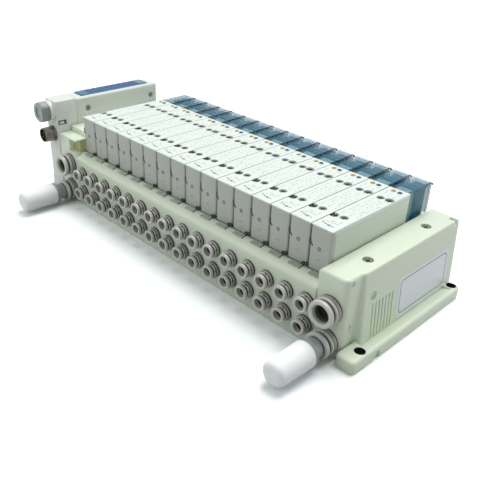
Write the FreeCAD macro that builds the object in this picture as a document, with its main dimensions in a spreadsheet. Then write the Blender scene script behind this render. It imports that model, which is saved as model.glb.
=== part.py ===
import FreeCAD, Part

import os
import re

import Sketcher
from FreeCAD import Vector

# Valve island: a row of solenoid valves on one moulded base between two end blocks.
# Frame: +X along the row to the plain end block, +Y to the rear, +Z up, millimetres.
# Origin: centre of the four mounting holes, on the plane that the feet stand on.
# Inside the pieces, x = 0 is the left side of the first valve, y = 0 the valve fronts
# and z = 0 the ground; every piece is then shifted by the same placement.

SIZES = [
    # the row of valves
    ("pitch", 16.0, "station spacing"),
    ("stations", 16, "number of valves"),
    ("valve_gap", 0.5, "gap between neighbouring valves"),
    ("valve_rise", 29.5, "valve height above the shelf"),
    ("body_rear", 78.8, "rear of the valve bodies behind the valve fronts"),
    ("front_cover_thick", 2.4, "grey front cover"),
    ("front_cover_lift", 0.5, "front cover clear of the shelf"),
    ("body_chamfer", 2.5, "front corners of a valve body"),
    ("plate_thick", 2.6, "white top plate"),
    ("plate_lip", 0.8, "top plate where it laps over the front cover"),
    ("gasket_thick", 1.6, "gasket between valve and base"),
    ("gasket_inset", 3.0, "gasket inside the outline of the valve body"),
    ("gasket_side", 1.0, "gasket inside the sides of the valve body"),
    ("screw_notch_front", 18.5, "notch for the hold-down screw, front, at the left side"),
    ("screw_notch_rear", 60.3, "the same, rear, at the right side"),
    ("screw_notch_wide", 6.0, "notch length along the valve"),
    ("screw_notch_deep", 3.0, "notch depth into the side of the top plate"),
    # override buttons
    ("button_round", 1.5, "corner radius of a button"),
    ("button_tall", 1.9, "button height"),
    ("button_proud", 0.4, "button above the top plate at rest"),
    ("button_span", 4.7, "distance between the two buttons"),
    ("button_inset", 4.1, "buttons before the rear of the valve bodies"),
    ("button_clear", 0.3, "clearance round a button"),
    # pilot units under the blue covers
    ("pilot_gap", 0.3, "gap between valve body and pilot unit"),
    ("pilot_long", 25.2, "pilot unit length"),
    ("pilot_step", 9.0, "length of the raised front of the pilot unit"),
    ("pilot_drop", 6.5, "rear of the pilot unit below its front"),
    ("cover_wide", 13.0, "blue cover width"),
    ("cover_wall", 1.0, "blue cover wall"),
    ("cover_long", 27.5, "blue cover length"),
    ("cover_tall", 22.0, "blue cover height"),
    ("cover_clear", 0.2, "clearance between pilot unit and blue cover"),
    # base
    ("base_tall", 44.0, "shelf height"),
    ("base_front", 10.0, "front face before the valve fronts"),
    ("base_rear", 108.0, "rear face behind the valve fronts"),
    ("shelf_flat", 2.5, "flat shelf before the valve fronts"),
    ("shelf_drop", 2.5, "fall of the shelf to the front edge"),
    ("shelf_round", 2.5, "rounding of the front edge"),
    # tie rods
    ("rod_radius", 3.0, "tie rod"),
    ("rod_clear", 0.2, "clearance round a tie rod and at its ends"),
    ("rod_level", 24.0, "tie rods above the ground"),
    ("rod_front", 30.0, "front tie rod behind the valve fronts"),
    ("rod_apart", 50.0, "distance between the tie rods"),
    ("rod_reach", 12.0, "tie rod into each end block"),
    # feet and mounting holes
    ("foot_thick", 8.7, "foot thickness"),
    ("foot_front", 13.5, "front edge of the feet before the valve fronts"),
    ("foot_hole_back", 12.5, "front mounting hole behind the front edge of the foot"),
    ("foot_hole_span", 104.0, "mounting holes, front to rear"),
    ("foot_tail", 4.0, "foot behind its rear mounting hole"),
    ("foot_hole_radius", 3.5, "mounting hole"),
    ("foot_hole_edge", 5.0, "mounting hole inside the outer edge of the foot"),
    ("foot_round", 3.0, "rounding of the corners of the feet"),
    # plain end block, at the right
    ("right_front", 9.0, "front face before the valve fronts"),
    ("right_rear", 110.0, "rear face behind the valve fronts"),
    ("right_tall", 54.3, "height"),
    ("right_wide_low", 25.5, "width at the ground"),
    ("right_wide_top", 21.5, "width at the top"),
    ("right_pillar", 20.0, "width of the pillar that carries the ports"),
    ("right_notch", 5.0, "corner notch behind the valve fronts"),
    ("right_foot_reach", 34.0, "outer edge of the foot from the valve row"),
    ("right_foot_wide", 13.6, "foot width"),
    ("right_round", 3.5, "rounding of the upright edges"),
    ("right_edge", 1.6, "bevel of the top edges"),
    ("rib_first", 14.0, "first grip groove behind the valve fronts"),
    ("rib_step", 3.4, "spacing of the grip grooves"),
    ("rib_count", 7, "number of grip grooves"),
    ("rib_wide", 1.5, "groove width"),
    ("rib_deep", 0.9, "groove depth"),
    ("rib_low", 9.2, "lower end of the grooves"),
    ("rib_tall", 22.3, "length of the grooves"),
    ("foot_mark_radius", 3.5, "round mark in the outer edge of the foot"),
    ("foot_mark_place", 9.6, "the mark behind the valve fronts"),
    ("foot_mark_level", 2.5, "centre of the mark above the ground"),
    ("foot_mark_deep", 2.5, "depth of the mark"),
    # connector end block, at the left
    ("left_front", 9.0, "front face before the valve fronts"),
    ("left_rear", 110.0, "rear face behind the valve fronts"),
    ("left_wide", 24.5, "width"),
    ("left_tall", 55.0, "height of the front ledge"),
    ("left_step_rise", 4.2, "rise of the rear part above the ledge"),
    ("left_step_place", 2.6, "the step behind the valve fronts"),
    ("left_foot_reach", 52.0, "outer edge of the foot from the valve row"),
    ("left_foot_front", 6.0, "front edge of the foot before the valve fronts"),
    ("pocket_wide", 9.5, "pocket beside the first valve, along the row"),
    ("pocket_roof", 1.2, "roof over the pocket"),
    ("pocket_rear", 0.0, "rear wall of the pocket behind the valve fronts"),
    ("insert_gap", 0.3, "clearance round the ribbed insert"),
    ("insert_thick", 3.2, "ribbed insert, front to rear"),
    ("insert_rib", 1.6, "rib width on the insert"),
    ("insert_rib_deep", 0.8, "rib depth on the insert"),
    # screws on top of the end blocks
    ("cap_recess_radius", 3.4, "counterbore"),
    ("cap_recess_deep", 3.0, "counterbore depth"),
    ("cap_head_radius", 3.1, "screw head"),
    ("cap_head_tall", 2.2, "screw head height"),
    ("cap_inset", 12.4, "screws from the valve row"),
    ("cap_front", 19.6, "front screw behind the valve fronts"),
    ("cap_span", 63.2, "distance between the two screws"),
    # small tube fittings
    ("small_bore", 3.05, "tube bore"),
    ("small_nose", 5.1, "release ring radius, at its corners"),
    ("small_flange", 5.9, "flange radius, at its corners"),
    ("small_flange_thick", 3.0, "flange"),
    ("small_reach", 7.0, "fitting before the face of the base"),
    ("small_bore_deep", 6.0, "tube depth"),
    ("small_shift", 2.2, "ports to the right of the valve's middle"),
    ("row_high", 29.5, "upper row of ports above the ground"),
    ("row_drop", 16.0, "lower row below the upper row"),
    # large tube fittings
    ("large_side", 10.5, "supply and exhaust ports from the valve row"),
    ("large_high", 32.2, "supply ports above the ground"),
    ("large_drop", 22.2, "exhaust ports below the supply ports"),
    ("large_radius", 8.9, "fitting body"),
    ("large_long", 5.0, "fitting body before the face of the end block"),
    ("large_seat", 7.6, "recess that guides the release collar"),
    ("large_bore", 5.1, "tube bore"),
    ("large_bore_long", 1.5, "tube bore length behind the collar's recess"),
    ("large_floor", 0.4, "floor left behind the tube bore"),
    ("collar_clear", 0.3, "clearance between collar and recess"),
    ("collar_bore", 5.3, "hole through the release collar"),
    ("collar_travel", 1.5, "travel of the release collar"),
    ("collar_floor_gap", 0.5, "shank of a pressed collar to the floor of its recess"),
    ("collar_stop_gap", 0.4, "head of a pressed collar to the fitting body"),
    ("collar_head", 8.8, "head radius of the release collar"),
    ("collar_head_long", 2.7, "length of that head"),
    # silencers
    ("plug_clear", 0.15, "silencer stem inside the tube bore"),
    ("plug_gap", 0.5, "silencer shank before the release collar"),
    ("muffler_shank", 6.5, "silencer shank radius"),
    ("muffler_shank_long", 6.1, "silencer shank"),
    ("muffler_flange", 8.6, "silencer flange radius"),
    ("muffler_flange_long", 2.8, "silencer flange"),
    ("muffler_radius", 8.8, "porous element radius"),
    ("muffler_long", 28.0, "porous element length"),
    ("muffler_bevel", 3.0, "bevel at the free end"),
    # bus interface unit
    ("unit_tall", 72.1, "height above the foot"),
    ("unit_wide", 18.5, "housing width"),
    ("unit_long", 83.0, "housing length"),
    ("unit_edge", 2.0, "rounding of the housing"),
    ("nose_wide", 17.2, "front block width"),
    ("nose_long", 19.0, "front block length"),
    ("nose_front", 9.5, "front block before the valve fronts"),
    ("nose_round", 1.2, "rounding of the front block"),
    ("nose_side_gap", 0.6, "front block set back from the end block's side"),
    ("latch_rear", 0.6, "latch pocket, rear edge before the valve fronts"),
    ("latch_long", 8.0, "latch pocket length"),
    ("latch_low", 61.0, "latch pocket above the ground"),
    ("latch_tall", 4.0, "latch pocket height"),
    ("latch_deep", 1.2, "latch pocket depth"),
    ("window_right", 4.0, "window from the right side of the housing"),
    ("window_wide", 13.0, "window width"),
    ("window_front", 7.5, "window from the front of the housing"),
    ("window_long", 69.0, "window length"),
    ("window_seat", 1.5, "depth of the window's seat"),
    ("window_thick", 2.2, "window thickness"),
    ("window_gap", 0.2, "clearance round the window"),
    ("window_round", 1.2, "bevel of the window's corners"),
    ("unit_screw_level", 71.0, "side screws above the ground"),
    ("unit_screw_front", 10.8, "front side screw from the front of the housing"),
    ("unit_screw_span", 66.0, "distance between the side screws"),
    ("unit_screw_recess", 2.6, "counterbore radius"),
    ("unit_screw_deep", 1.6, "counterbore depth"),
    ("unit_screw_radius", 2.4, "screw head radius"),
    ("unit_screw_head", 1.2, "screw head height"),
    # cable gland and round connector on the front block
    ("gland_level", 72.3, "gland above the ground"),
    ("gland_radius", 8.2, "gland body"),
    ("gland_long", 4.6, "gland body before the front block"),
    ("cap_round", 8.3, "gland cap radius"),
    ("cap_flat", 6.6, "gland cap, middle to spanner flat"),
    ("cap_long", 7.0, "gland cap length"),
    ("cap_bevel", 1.2, "gland cap bevel"),
    ("plug_level", 52.5, "connector above the ground"),
    ("plug_flange", 6.8, "connector flange radius"),
    ("plug_flange_thick", 1.6, "connector flange"),
    ("plug_radius", 6.0, "connector thread, outside radius"),
    ("plug_wall", 0.8, "connector shell wall"),
    ("plug_long", 9.5, "connector before the front block"),
    ("plug_insert_gap", 0.05, "insert in the shell"),
    ("plug_insert_short", 2.5, "insert below the mouth of the shell"),
]

ALIASES = {alias for alias, size, words in SIZES}
ROW = "(pitch * stations)"
SHIFT_X = "(left_foot_reach - foot_hole_edge - (pitch * stations + left_foot_reach"\
          " - foot_hole_edge + right_foot_reach - foot_hole_edge) / 2)"
SHIFT_Y = "(foot_front - foot_hole_back - foot_hole_span / 2)"
VALVE_TOP = "(base_tall + valve_rise)"
PLATE_UNDER = "(base_tall + valve_rise - plate_thick)"
PILOT_FRONT = "(body_rear + pilot_gap)"
BUTTON_ROW = "(body_rear - button_inset)"
COLLAR_HEAD_REAR = "(large_long + collar_travel + collar_stop_gap)"
COLLAR_FRONT = "(large_long + collar_travel + collar_stop_gap + collar_head_long)"
# Round pieces that repeat or are hidden are drawn with few flat sides, to keep facets low.
BUTTON_SIDES = 6
SMALL_SIDES = 8
LARGE_SIDES = 16
SCREW_SIDES = 12
ROD_SIDES = 8

doc = FreeCAD.newDocument("valve_island")
sheet = doc.addObject("Spreadsheet::Sheet", "Sizes")
nodes = []


def fill_sheet():
    """Writes every driving size to the sheet, with its alias and a few words."""
    for row, (alias, size, words) in enumerate(SIZES, start=1):
        sheet.set(f"A{row}", words)
        sheet.set(f"B{row}", str(size))
        sheet.setAlias(f"B{row}", alias)
    doc.recompute()


def size_of(alias):
    """Returns a size from the sheet as a number."""
    return float(sheet.get(alias))


def formula(text):
    """Turns sizes named in a text into cells of the sheet."""
    return re.sub(r"[a-z_]+", lambda m: "Sizes." + m[0] if m[0] in ALIASES else m[0], text)


def bind(thing, prop, text):
    """Ties a property of an object to a formula of sizes."""
    thing.setExpression(prop, formula(text))


def place(thing, dx="0", dy="0", dz="0"):
    """Shifts a piece from the row's own frame to the mounting holes."""
    bind(thing, "Placement.Base.x", f"{SHIFT_X} + {dx}")
    bind(thing, "Placement.Base.y", f"{SHIFT_Y} + {dy}")
    bind(thing, "Placement.Base.z", dz)


def new_body(label):
    """Starts the body of one sub-part."""
    body = doc.addObject("PartDesign::Body", label)
    body.Label = label
    nodes.append(body)
    return body


def origin_part(body, role):
    """Finds an axis or a plane of a body's own origin."""
    return next(part for part in body.Origin.OriginFeatures if part.Role == role)


def sketch_on(body, role, height="0"):
    """Attaches a sketch to a plane of the body, moved along the plane's normal.

    XY faces up, XZ faces the front (-Y) and YZ faces the right (+X).
    """
    sketch = body.newObject("Sketcher::SketchObject", body.Label + "_sketch")
    sketch.AttachmentSupport = [(origin_part(body, role + "_Plane"), "")]
    sketch.MapMode = "FlatFace"
    bind(sketch, "AttachmentOffset.Base.z", height)
    return sketch


def pin_point(sketch, edge, end, across, up):
    """Fixes one point of the sketch at two coordinates."""
    for kind, text in (("DistanceX", across), ("DistanceY", up)):
        number = sketch.addConstraint(Sketcher.Constraint(kind, edge, end, 1.0))
        bind(sketch, f"Constraints[{number}]", text)


def draw_polygon(sketch, corners):
    """Draws a closed outline through corners given as pairs of formulas."""
    first = sketch.GeometryCount
    count = len(corners)
    start = [Vector(1, 0, 0)]
    turn = FreeCAD.Rotation(Vector(0, 0, 1), 360 / count)
    for _ in range(count - 1):
        start.append(turn.multVec(start[-1]))
    for k in range(count):
        sketch.addGeometry(Part.LineSegment(start[k], start[(k + 1) % count]), False)
    for k in range(count):
        after = first + (k + 1) % count
        sketch.addConstraint(Sketcher.Constraint("Coincident", first + k, 2, after, 1))
    for k, (across, up) in enumerate(corners):
        pin_point(sketch, first + k, 1, across, up)
    return sketch


def draw_box(sketch, left, low, right, high):
    """Draws a rectangle between two corners."""
    return draw_polygon(sketch, [(left, low), (right, low), (right, high), (left, high)])


def draw_ring(sketch, sides, across, up, radius):
    """Draws a regular polygon about a point, with corners on both axes."""
    corners = []
    for k in range(sides):
        angle = f"{k * 360 / sides} deg"
        corners.append((f"{across} + ({radius}) * cos({angle})",
                        f"{up} + ({radius}) * sin({angle})"))
    return draw_polygon(sketch, corners)


def draw_circle(sketch, across, up, radius):
    """Draws a circle."""
    edge = sketch.addGeometry(Part.Circle(Vector(0, 0, 0), Vector(0, 0, 1), 1.0), False)
    pin_point(sketch, edge, 3, across, up)
    number = sketch.addConstraint(Sketcher.Constraint("Radius", edge, 1.0))
    bind(sketch, f"Constraints[{number}]", radius)
    return sketch


def pad(body, sketch, length, reverse=False):
    """Extrudes a sketch along its plane's normal, or against it."""
    feature = body.newObject("PartDesign::Pad", body.Label + "_pad")
    feature.Profile = sketch
    feature.Reversed = reverse
    bind(feature, "Length", length)
    return feature


def pocket(body, sketch, depth, reverse=False):
    """Cuts a sketch against its plane's normal, or along it, and checks that it cut."""
    before = body.Shape.Volume if body.Shape.Solids else 0.0
    feature = body.newObject("PartDesign::Pocket", body.Label + "_pocket")
    feature.Profile = sketch
    feature.Reversed = reverse
    bind(feature, "Length", depth)
    doc.recompute()
    if not feature.Shape.Volume < before:
        raise RuntimeError(body.Label + ": a pocket removed nothing")
    return feature


def soften(body, base, radius, wanted, kind="Fillet"):
    """Rounds or bevels the edges of a feature that a test picks out."""
    doc.recompute()
    names = [f"Edge{k}" for k, edge in enumerate(base.Shape.Edges, start=1) if wanted(edge)]
    feature = body.newObject("PartDesign::" + kind, body.Label + "_" + kind.lower())
    feature.Base = (base, names)
    bind(feature, "Radius" if kind == "Fillet" else "Size", radius)
    return feature


def repeat(body, feature, axis, step, count):
    """Repeats a whole body along an axis."""
    pattern = body.newObject("PartDesign::LinearPattern", body.Label + "_row")
    pattern.Originals = [feature]
    pattern.TransformMode = "Whole shape"
    pattern.Direction = (origin_part(body, axis + "_Axis"), [""])
    pattern.Mode = "Spacing"
    bind(pattern, "Offset", step)
    bind(pattern, "Occurrences", count)
    body.Tip = pattern
    return pattern


def upright_at(x, y):
    """Picks the upright edges at a place."""
    def wanted(edge):
        ends = [v.Point for v in edge.Vertexes]
        return len(ends) == 2 and all(abs(p.x - x) < 0.01 and abs(p.y - y) < 0.01 for p in ends)
    return wanted


def make_base():
    """Moulded base: one rail with a shelf that falls to a rounded front edge."""
    body = new_body("manifold_base")
    outline = draw_polygon(sketch_on(body, "YZ"), [
        ("-base_front", "0"), ("base_rear", "0"), ("base_rear", "base_tall"),
        ("-shelf_flat", "base_tall"), ("-base_front", "base_tall - shelf_drop"),
    ])
    rail = pad(body, outline, ROW)
    front = -size_of("base_front")
    high = size_of("base_tall") - size_of("shelf_drop")

    def front_edge(edge):
        return all(abs(v.Point.y - front) < 0.01 and abs(v.Point.z - high) < 0.01
                   for v in edge.Vertexes)
    soften(body, rail, "shelf_round", front_edge)
    doc.recompute()
    bores = sketch_on(body, "YZ")
    for place_y in ("rod_front", "rod_front + rod_apart"):
        draw_ring(bores, ROD_SIDES, place_y, "rod_level", "rod_radius + rod_clear")
    pocket(body, bores, ROW, reverse=True)
    place(body)


def make_tie_rods():
    """Two rods through the base, which hold the end blocks to it."""
    body = new_body("tie_rods")
    section = sketch_on(body, "YZ")
    for place_y in ("rod_front", "rod_front + rod_apart"):
        draw_ring(section, ROD_SIDES, place_y, "rod_level", "rod_radius")
    pad(body, section, ROW + " + 2 * rod_reach")
    place(body, dx="-rod_reach")


def cut_end_block(body, side, ports_face, top, cap_x):
    """Cuts what both end blocks have: rod holes, counterbores and mounting holes."""
    holes = sketch_on(body, "YZ")
    for place_y in ("rod_front", "rod_front + rod_apart"):
        draw_ring(holes, ROD_SIDES, place_y, "rod_level", "rod_radius + rod_clear")
    pocket(body, holes, "rod_reach + rod_clear", reverse=side > 0)
    caps = sketch_on(body, "XY", top)
    for place_y in ("cap_front", "cap_front + cap_span"):
        draw_ring(caps, SCREW_SIDES, cap_x, place_y, "cap_recess_radius")
    pocket(body, caps, "cap_recess_deep")
    feet = sketch_on(body, "XY", "foot_thick")
    reach = "right_foot_reach" if side > 0 else "left_foot_reach"
    hole_x = f"{side} * ({reach} - foot_hole_edge)"
    for step in ("0", "foot_hole_span"):
        draw_circle(feet, hole_x, f"foot_hole_back - foot_front + {step}", "foot_hole_radius")
    pocket(body, feet, "foot_thick")


def round_foot(body, base, side):
    """Rounds the two outer corners of a foot."""
    outer = side * size_of("right_foot_reach" if side > 0 else "left_foot_reach")
    front = -size_of("foot_front" if side > 0 else "left_foot_front")
    rear = sum(size_of(role) for role in ("foot_hole_back", "foot_hole_span", "foot_tail"))
    rear -= size_of("foot_front")
    corners = [upright_at(outer, front), upright_at(outer, rear)]
    return soften(body, base, "foot_round", lambda edge: any(test(edge) for test in corners))


def make_right_block():
    """Plain end block: a drafted wall behind a port pillar, with a foot along its side."""
    body = new_body("end_block_right")
    section = draw_polygon(sketch_on(body, "XZ", "right_front"), [
        ("0", "0"), ("right_wide_low", "0"), ("right_wide_top", "right_tall"),
        ("0", "right_tall"),
    ])
    pad(body, section, "right_front + right_rear", reverse=True)
    doc.recompute()
    notch = draw_box(sketch_on(body, "XY", "right_tall"), "right_pillar", "-2 * right_front",
                     "2 * right_wide_low", "right_notch")
    cut = pocket(body, notch, "right_tall")
    pillar = size_of("right_pillar")
    front = -size_of("right_front")
    upright = soften(body, cut, "right_round", upright_at(pillar, front))
    doc.recompute()
    top = size_of("right_tall")

    def top_outside(edge):
        points = [v.Point for v in edge.Vertexes]
        flat = all(abs(p.z - top) < 0.01 for p in points)
        inside = all(abs(p.x) < 0.01 for p in points)
        back = all(abs(p.y - size_of("right_rear")) < 0.01 for p in points)
        return flat and not inside and not back
    soften(body, upright, "right_edge", top_outside, kind="Chamfer")
    doc.recompute()
    foot = draw_box(sketch_on(body, "XY"), "right_foot_reach - right_foot_wide", "-foot_front",
                    "right_foot_reach",
                    "foot_hole_back - foot_front + foot_hole_span + foot_tail")
    round_foot(body, pad(body, foot, "foot_thick"), 1)
    doc.recompute()
    cut_end_block(body, 1, "right_front", "right_tall", "cap_inset")
    mark = draw_ring(sketch_on(body, "YZ", "right_foot_reach"), SCREW_SIDES, "foot_mark_place",
                     "foot_mark_level", "foot_mark_radius")
    pocket(body, mark, "foot_mark_deep")
    cut_grip_grooves(body)
    place(body, dx=ROW)


def cut_grip_grooves(body):
    """Cuts the upright grip grooves, which follow the drafted outer wall."""
    lean = "((right_wide_low - right_wide_top) / right_tall)"
    low = f"right_wide_low - {lean} * rib_low"
    high = f"right_wide_low - {lean} * (rib_low + rib_tall)"
    for k in range(int(size_of("rib_count"))):
        groove = draw_polygon(sketch_on(body, "XZ", f"-rib_first - {k} * rib_step"), [
            (low + " - rib_deep", "rib_low"), (low + " + rib_deep", "rib_low"),
            (high + " + rib_deep", "rib_low + rib_tall"),
            (high + " - rib_deep", "rib_low + rib_tall"),
        ])
        pocket(body, groove, "rib_wide")


def make_left_block():
    """Connector end block: stepped top, a pocket beside the first valve and a wide foot."""
    body = new_body("end_block_left")
    outline = draw_polygon(sketch_on(body, "YZ"), [
        ("-left_front", "0"), ("left_rear", "0"), ("left_rear", "left_tall + left_step_rise"),
        ("left_step_place", "left_tall + left_step_rise"), ("left_step_place", "left_tall"),
        ("-left_front", "left_tall"),
    ])
    pad(body, outline, "left_wide", reverse=True)
    foot = draw_box(sketch_on(body, "XY"), "-left_foot_reach", "-left_foot_front", "-left_wide",
                    "foot_hole_back - foot_front + foot_hole_span + foot_tail")
    round_foot(body, pad(body, foot, "foot_thick"), -1)
    doc.recompute()
    hollow = draw_box(sketch_on(body, "XZ", "left_front"), "-pocket_wide", "base_tall", "0",
                      "left_tall - pocket_roof")
    pocket(body, hollow, "left_front + pocket_rear")
    cut_end_block(body, -1, "left_front", "left_tall + left_step_rise", "-cap_inset")
    place(body)


def make_insert():
    """Ribbed insert in the pocket beside the first valve."""
    body = new_body("pocket_insert")
    left = "insert_gap - pocket_wide"
    rib = "((pocket_wide - 2 * insert_gap) / 2 - insert_rib)"
    edge = "pocket_rear - insert_thick"
    corners = [(left, "pocket_rear"), (left, edge)]
    for k in (0, 1):
        start = f"{left} + {k} * ({rib} + insert_rib) + {rib} / 2"
        corners += [
            (start, edge), (start, edge + " - insert_rib_deep"),
            (start + " + insert_rib", edge + " - insert_rib_deep"),
            (start + " + insert_rib", edge),
        ]
    corners += [("-insert_gap", edge), ("-insert_gap", "pocket_rear")]
    outline = draw_polygon(sketch_on(body, "XY", "base_tall"), corners)
    pad(body, outline, "left_tall - pocket_roof - base_tall - insert_gap")
    place(body)


def make_valve_row():
    """Valve bodies, gaskets, front covers and top plates, one of each to a station."""
    left = "valve_gap / 2"
    right = "pitch - valve_gap / 2"
    body = new_body("valve_bodies")
    outline = draw_box(sketch_on(body, "XY", "base_tall + gasket_thick"), left,
                       "front_cover_thick", right, "body_rear")
    block = pad(body, outline, "valve_rise - gasket_thick - plate_thick")
    front = size_of("front_cover_thick")
    sides = [size_of("valve_gap") / 2, size_of("pitch") - size_of("valve_gap") / 2]
    corners = [upright_at(x, front) for x in sides]
    eased = soften(body, block, "body_chamfer",
                   lambda edge: any(test(edge) for test in corners), kind="Chamfer")
    repeat(body, eased, "X", "pitch", "stations")
    place(body)

    body = new_body("valve_gaskets")
    outline = draw_box(sketch_on(body, "XY", "base_tall"), left + " + gasket_side",
                       "front_cover_thick + gasket_inset", right + " - gasket_side",
                       "body_rear - gasket_inset")
    repeat(body, pad(body, outline, "gasket_thick"), "X", "pitch", "stations")
    place(body)

    body = new_body("valve_front_covers")
    outline = draw_box(sketch_on(body, "XY", "base_tall + front_cover_lift"), left, "0", right,
                       "front_cover_thick")
    sheet_of = pad(body, outline, "valve_rise - plate_lip - front_cover_lift")
    repeat(body, sheet_of, "X", "pitch", "stations")
    place(body)
    make_top_plates(left, right)


def make_top_plates(left, right):
    """Top plates with a lip over the front cover, a button window and two side notches."""
    body = new_body("valve_top_plates")
    profile = draw_polygon(sketch_on(body, "YZ", left), [
        ("front_cover_thick", PLATE_UNDER), ("body_rear", PLATE_UNDER),
        ("body_rear", VALVE_TOP), ("0", VALVE_TOP), ("0", VALVE_TOP + " - plate_lip"),
        ("front_cover_thick", VALVE_TOP + " - plate_lip"),
    ])
    pad(body, profile, "pitch - valve_gap")
    doc.recompute()
    half = "(button_round + button_clear)"
    openings = sketch_on(body, "XY", VALVE_TOP)
    draw_box(openings, f"(pitch - button_span) / 2 - {half}", f"{BUTTON_ROW} - {half}",
             f"(pitch + button_span) / 2 + {half}", f"{BUTTON_ROW} + {half}")
    draw_box(openings, "-pitch", "screw_notch_front - screw_notch_wide / 2",
             left + " + screw_notch_deep", "screw_notch_front + screw_notch_wide / 2")
    draw_box(openings, right + " - screw_notch_deep", "screw_notch_rear - screw_notch_wide / 2",
             "2 * pitch", "screw_notch_rear + screw_notch_wide / 2")
    repeat(body, pocket(body, openings, "plate_thick"), "X", "pitch", "stations")
    place(body)


def make_buttons():
    """Override buttons: a pair on every valve, each a piece of its own that travels."""
    for station in range(int(size_of("stations"))):
        for side, name in ((-1, "a"), (1, "b")):
            button = doc.addObject("Part::Prism", f"override_{name}_{station + 1:02d}")
            button.Label = f"override_{name}_{station + 1:02d}"
            button.Polygon = BUTTON_SIDES
            bind(button, "Circumradius", "button_round")
            bind(button, "Height", "button_tall")
            place(button, f"pitch * ({station} + 0.5) + {side} * button_span / 2",
                  BUTTON_ROW, VALVE_TOP + " + button_proud - button_tall")
            nodes.append(button)


def make_pilot_row():
    """Pilot units behind the valve bodies, and the open blue covers over them."""
    body = new_body("pilot_units")
    top = VALVE_TOP + " - cover_wall - cover_clear"
    rear = PILOT_FRONT + " + pilot_long"
    side = "(pitch - cover_wide) / 2"
    profile = draw_polygon(sketch_on(body, "YZ", side + " + cover_wall + cover_clear"), [
        (PILOT_FRONT, "base_tall"), (rear, "base_tall"), (rear, top + " - pilot_drop"),
        (PILOT_FRONT + " + pilot_step", top + " - pilot_drop"),
        (PILOT_FRONT + " + pilot_step", top), (PILOT_FRONT, top),
    ])
    block = pad(body, profile, "cover_wide - 2 * cover_wall - 2 * cover_clear")
    repeat(body, block, "X", "pitch", "stations")
    place(body)

    body = new_body("indicator_covers")
    low = VALVE_TOP + " - cover_tall"
    outside = draw_box(sketch_on(body, "XY", low), side, PILOT_FRONT, side + " + cover_wide",
                       PILOT_FRONT + " + cover_long")
    pad(body, outside, "cover_tall")
    doc.recompute()
    inside = draw_box(sketch_on(body, "XY", low), side + " + cover_wall",
                      PILOT_FRONT + " - cover_wall", side + " + cover_wide - cover_wall",
                      PILOT_FRONT + " + cover_long - cover_wall")
    shell = pocket(body, inside, "cover_tall - cover_wall", reverse=True)
    repeat(body, shell, "X", "pitch", "stations")
    place(body)


def make_block_screws():
    """Screw heads in the counterbores on top of both end blocks."""
    body = new_body("block_screws")
    tops = (("-cap_inset", "left_tall + left_step_rise"), (ROW + " + cap_inset", "right_tall"))
    for place_x, top in tops:
        heads = sketch_on(body, "XY", top + " - cap_recess_deep")
        for place_y in ("cap_front", "cap_front + cap_span"):
            draw_ring(heads, SCREW_SIDES, place_x, place_y, "cap_head_radius")
        pad(body, heads, "cap_head_tall")
    place(body)


def make_small_fittings():
    """Tube fittings for the valve outlets, in two rows along the base."""
    body = new_body("port_fittings")
    flanges = sketch_on(body, "XZ")
    noses = sketch_on(body, "XZ", "small_flange_thick")
    mouths = sketch_on(body, "XZ", "small_reach")
    for level in ("0", "-row_drop"):
        draw_ring(flanges, SMALL_SIDES, "0", level, "small_flange")
        draw_ring(noses, SMALL_SIDES, "0", level, "small_nose")
        draw_circle(mouths, "0", level, "small_bore")
    pad(body, flanges, "small_flange_thick")
    pad(body, noses, "small_reach - small_flange_thick")
    doc.recompute()
    repeat(body, pocket(body, mouths, "small_bore_deep"), "X", "pitch", "stations")
    place(body, "pitch / 2 + small_shift", "-base_front", "row_high")


def end_ports():
    """Gives the places of the four large ports: name, x, y and z."""
    left = ("-large_side", "-left_front")
    right = (ROW + " + large_side", "-right_front")
    return [
        ("supply_left", *left, "large_high"),
        ("exhaust_left", *left, "large_high - large_drop"),
        ("supply_right", *right, "large_high"),
        ("exhaust_right", *right, "large_high - large_drop"),
    ]


def make_large_fittings():
    """Four large fitting bodies on the faces of the end blocks."""
    body = new_body("main_fittings")
    for name, x, y, z in end_ports():
        outline = draw_ring(sketch_on(body, "XZ", f"-({y})"), LARGE_SIDES, x, z, "large_radius")
        pad(body, outline, "large_long")
    doc.recompute()
    floor = "(large_floor + large_bore_long)"
    for name, x, y, z in end_ports():
        seat = draw_ring(sketch_on(body, "XZ", f"large_long - ({y})"), LARGE_SIDES, x, z,
                         "large_seat")
        pocket(body, seat, f"large_long - {floor}")
        bore = draw_circle(sketch_on(body, "XZ", f"{floor} - ({y})"), x, z, "large_bore")
        pocket(body, bore, "large_bore_long")
    place(body)


def make_release_collars():
    """Release collars: ringed shanks that slide in the recesses, with a wider head."""
    start = "(large_floor + large_bore_long + collar_travel + collar_floor_gap)"
    for name, x, y, z in end_ports():
        body = new_body("collar_" + name)
        for level, length, radius in (
                (start, f"{COLLAR_HEAD_REAR} - {start}", "large_seat - collar_clear"),
                (COLLAR_HEAD_REAR, "collar_head_long", "collar_head")):
            section = sketch_on(body, "XZ", level)
            draw_ring(section, LARGE_SIDES, "0", "0", radius)
            draw_ring(section, LARGE_SIDES, "0", "0", "collar_bore")
            pad(body, section, length)
        place(body, x, y, z)


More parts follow.
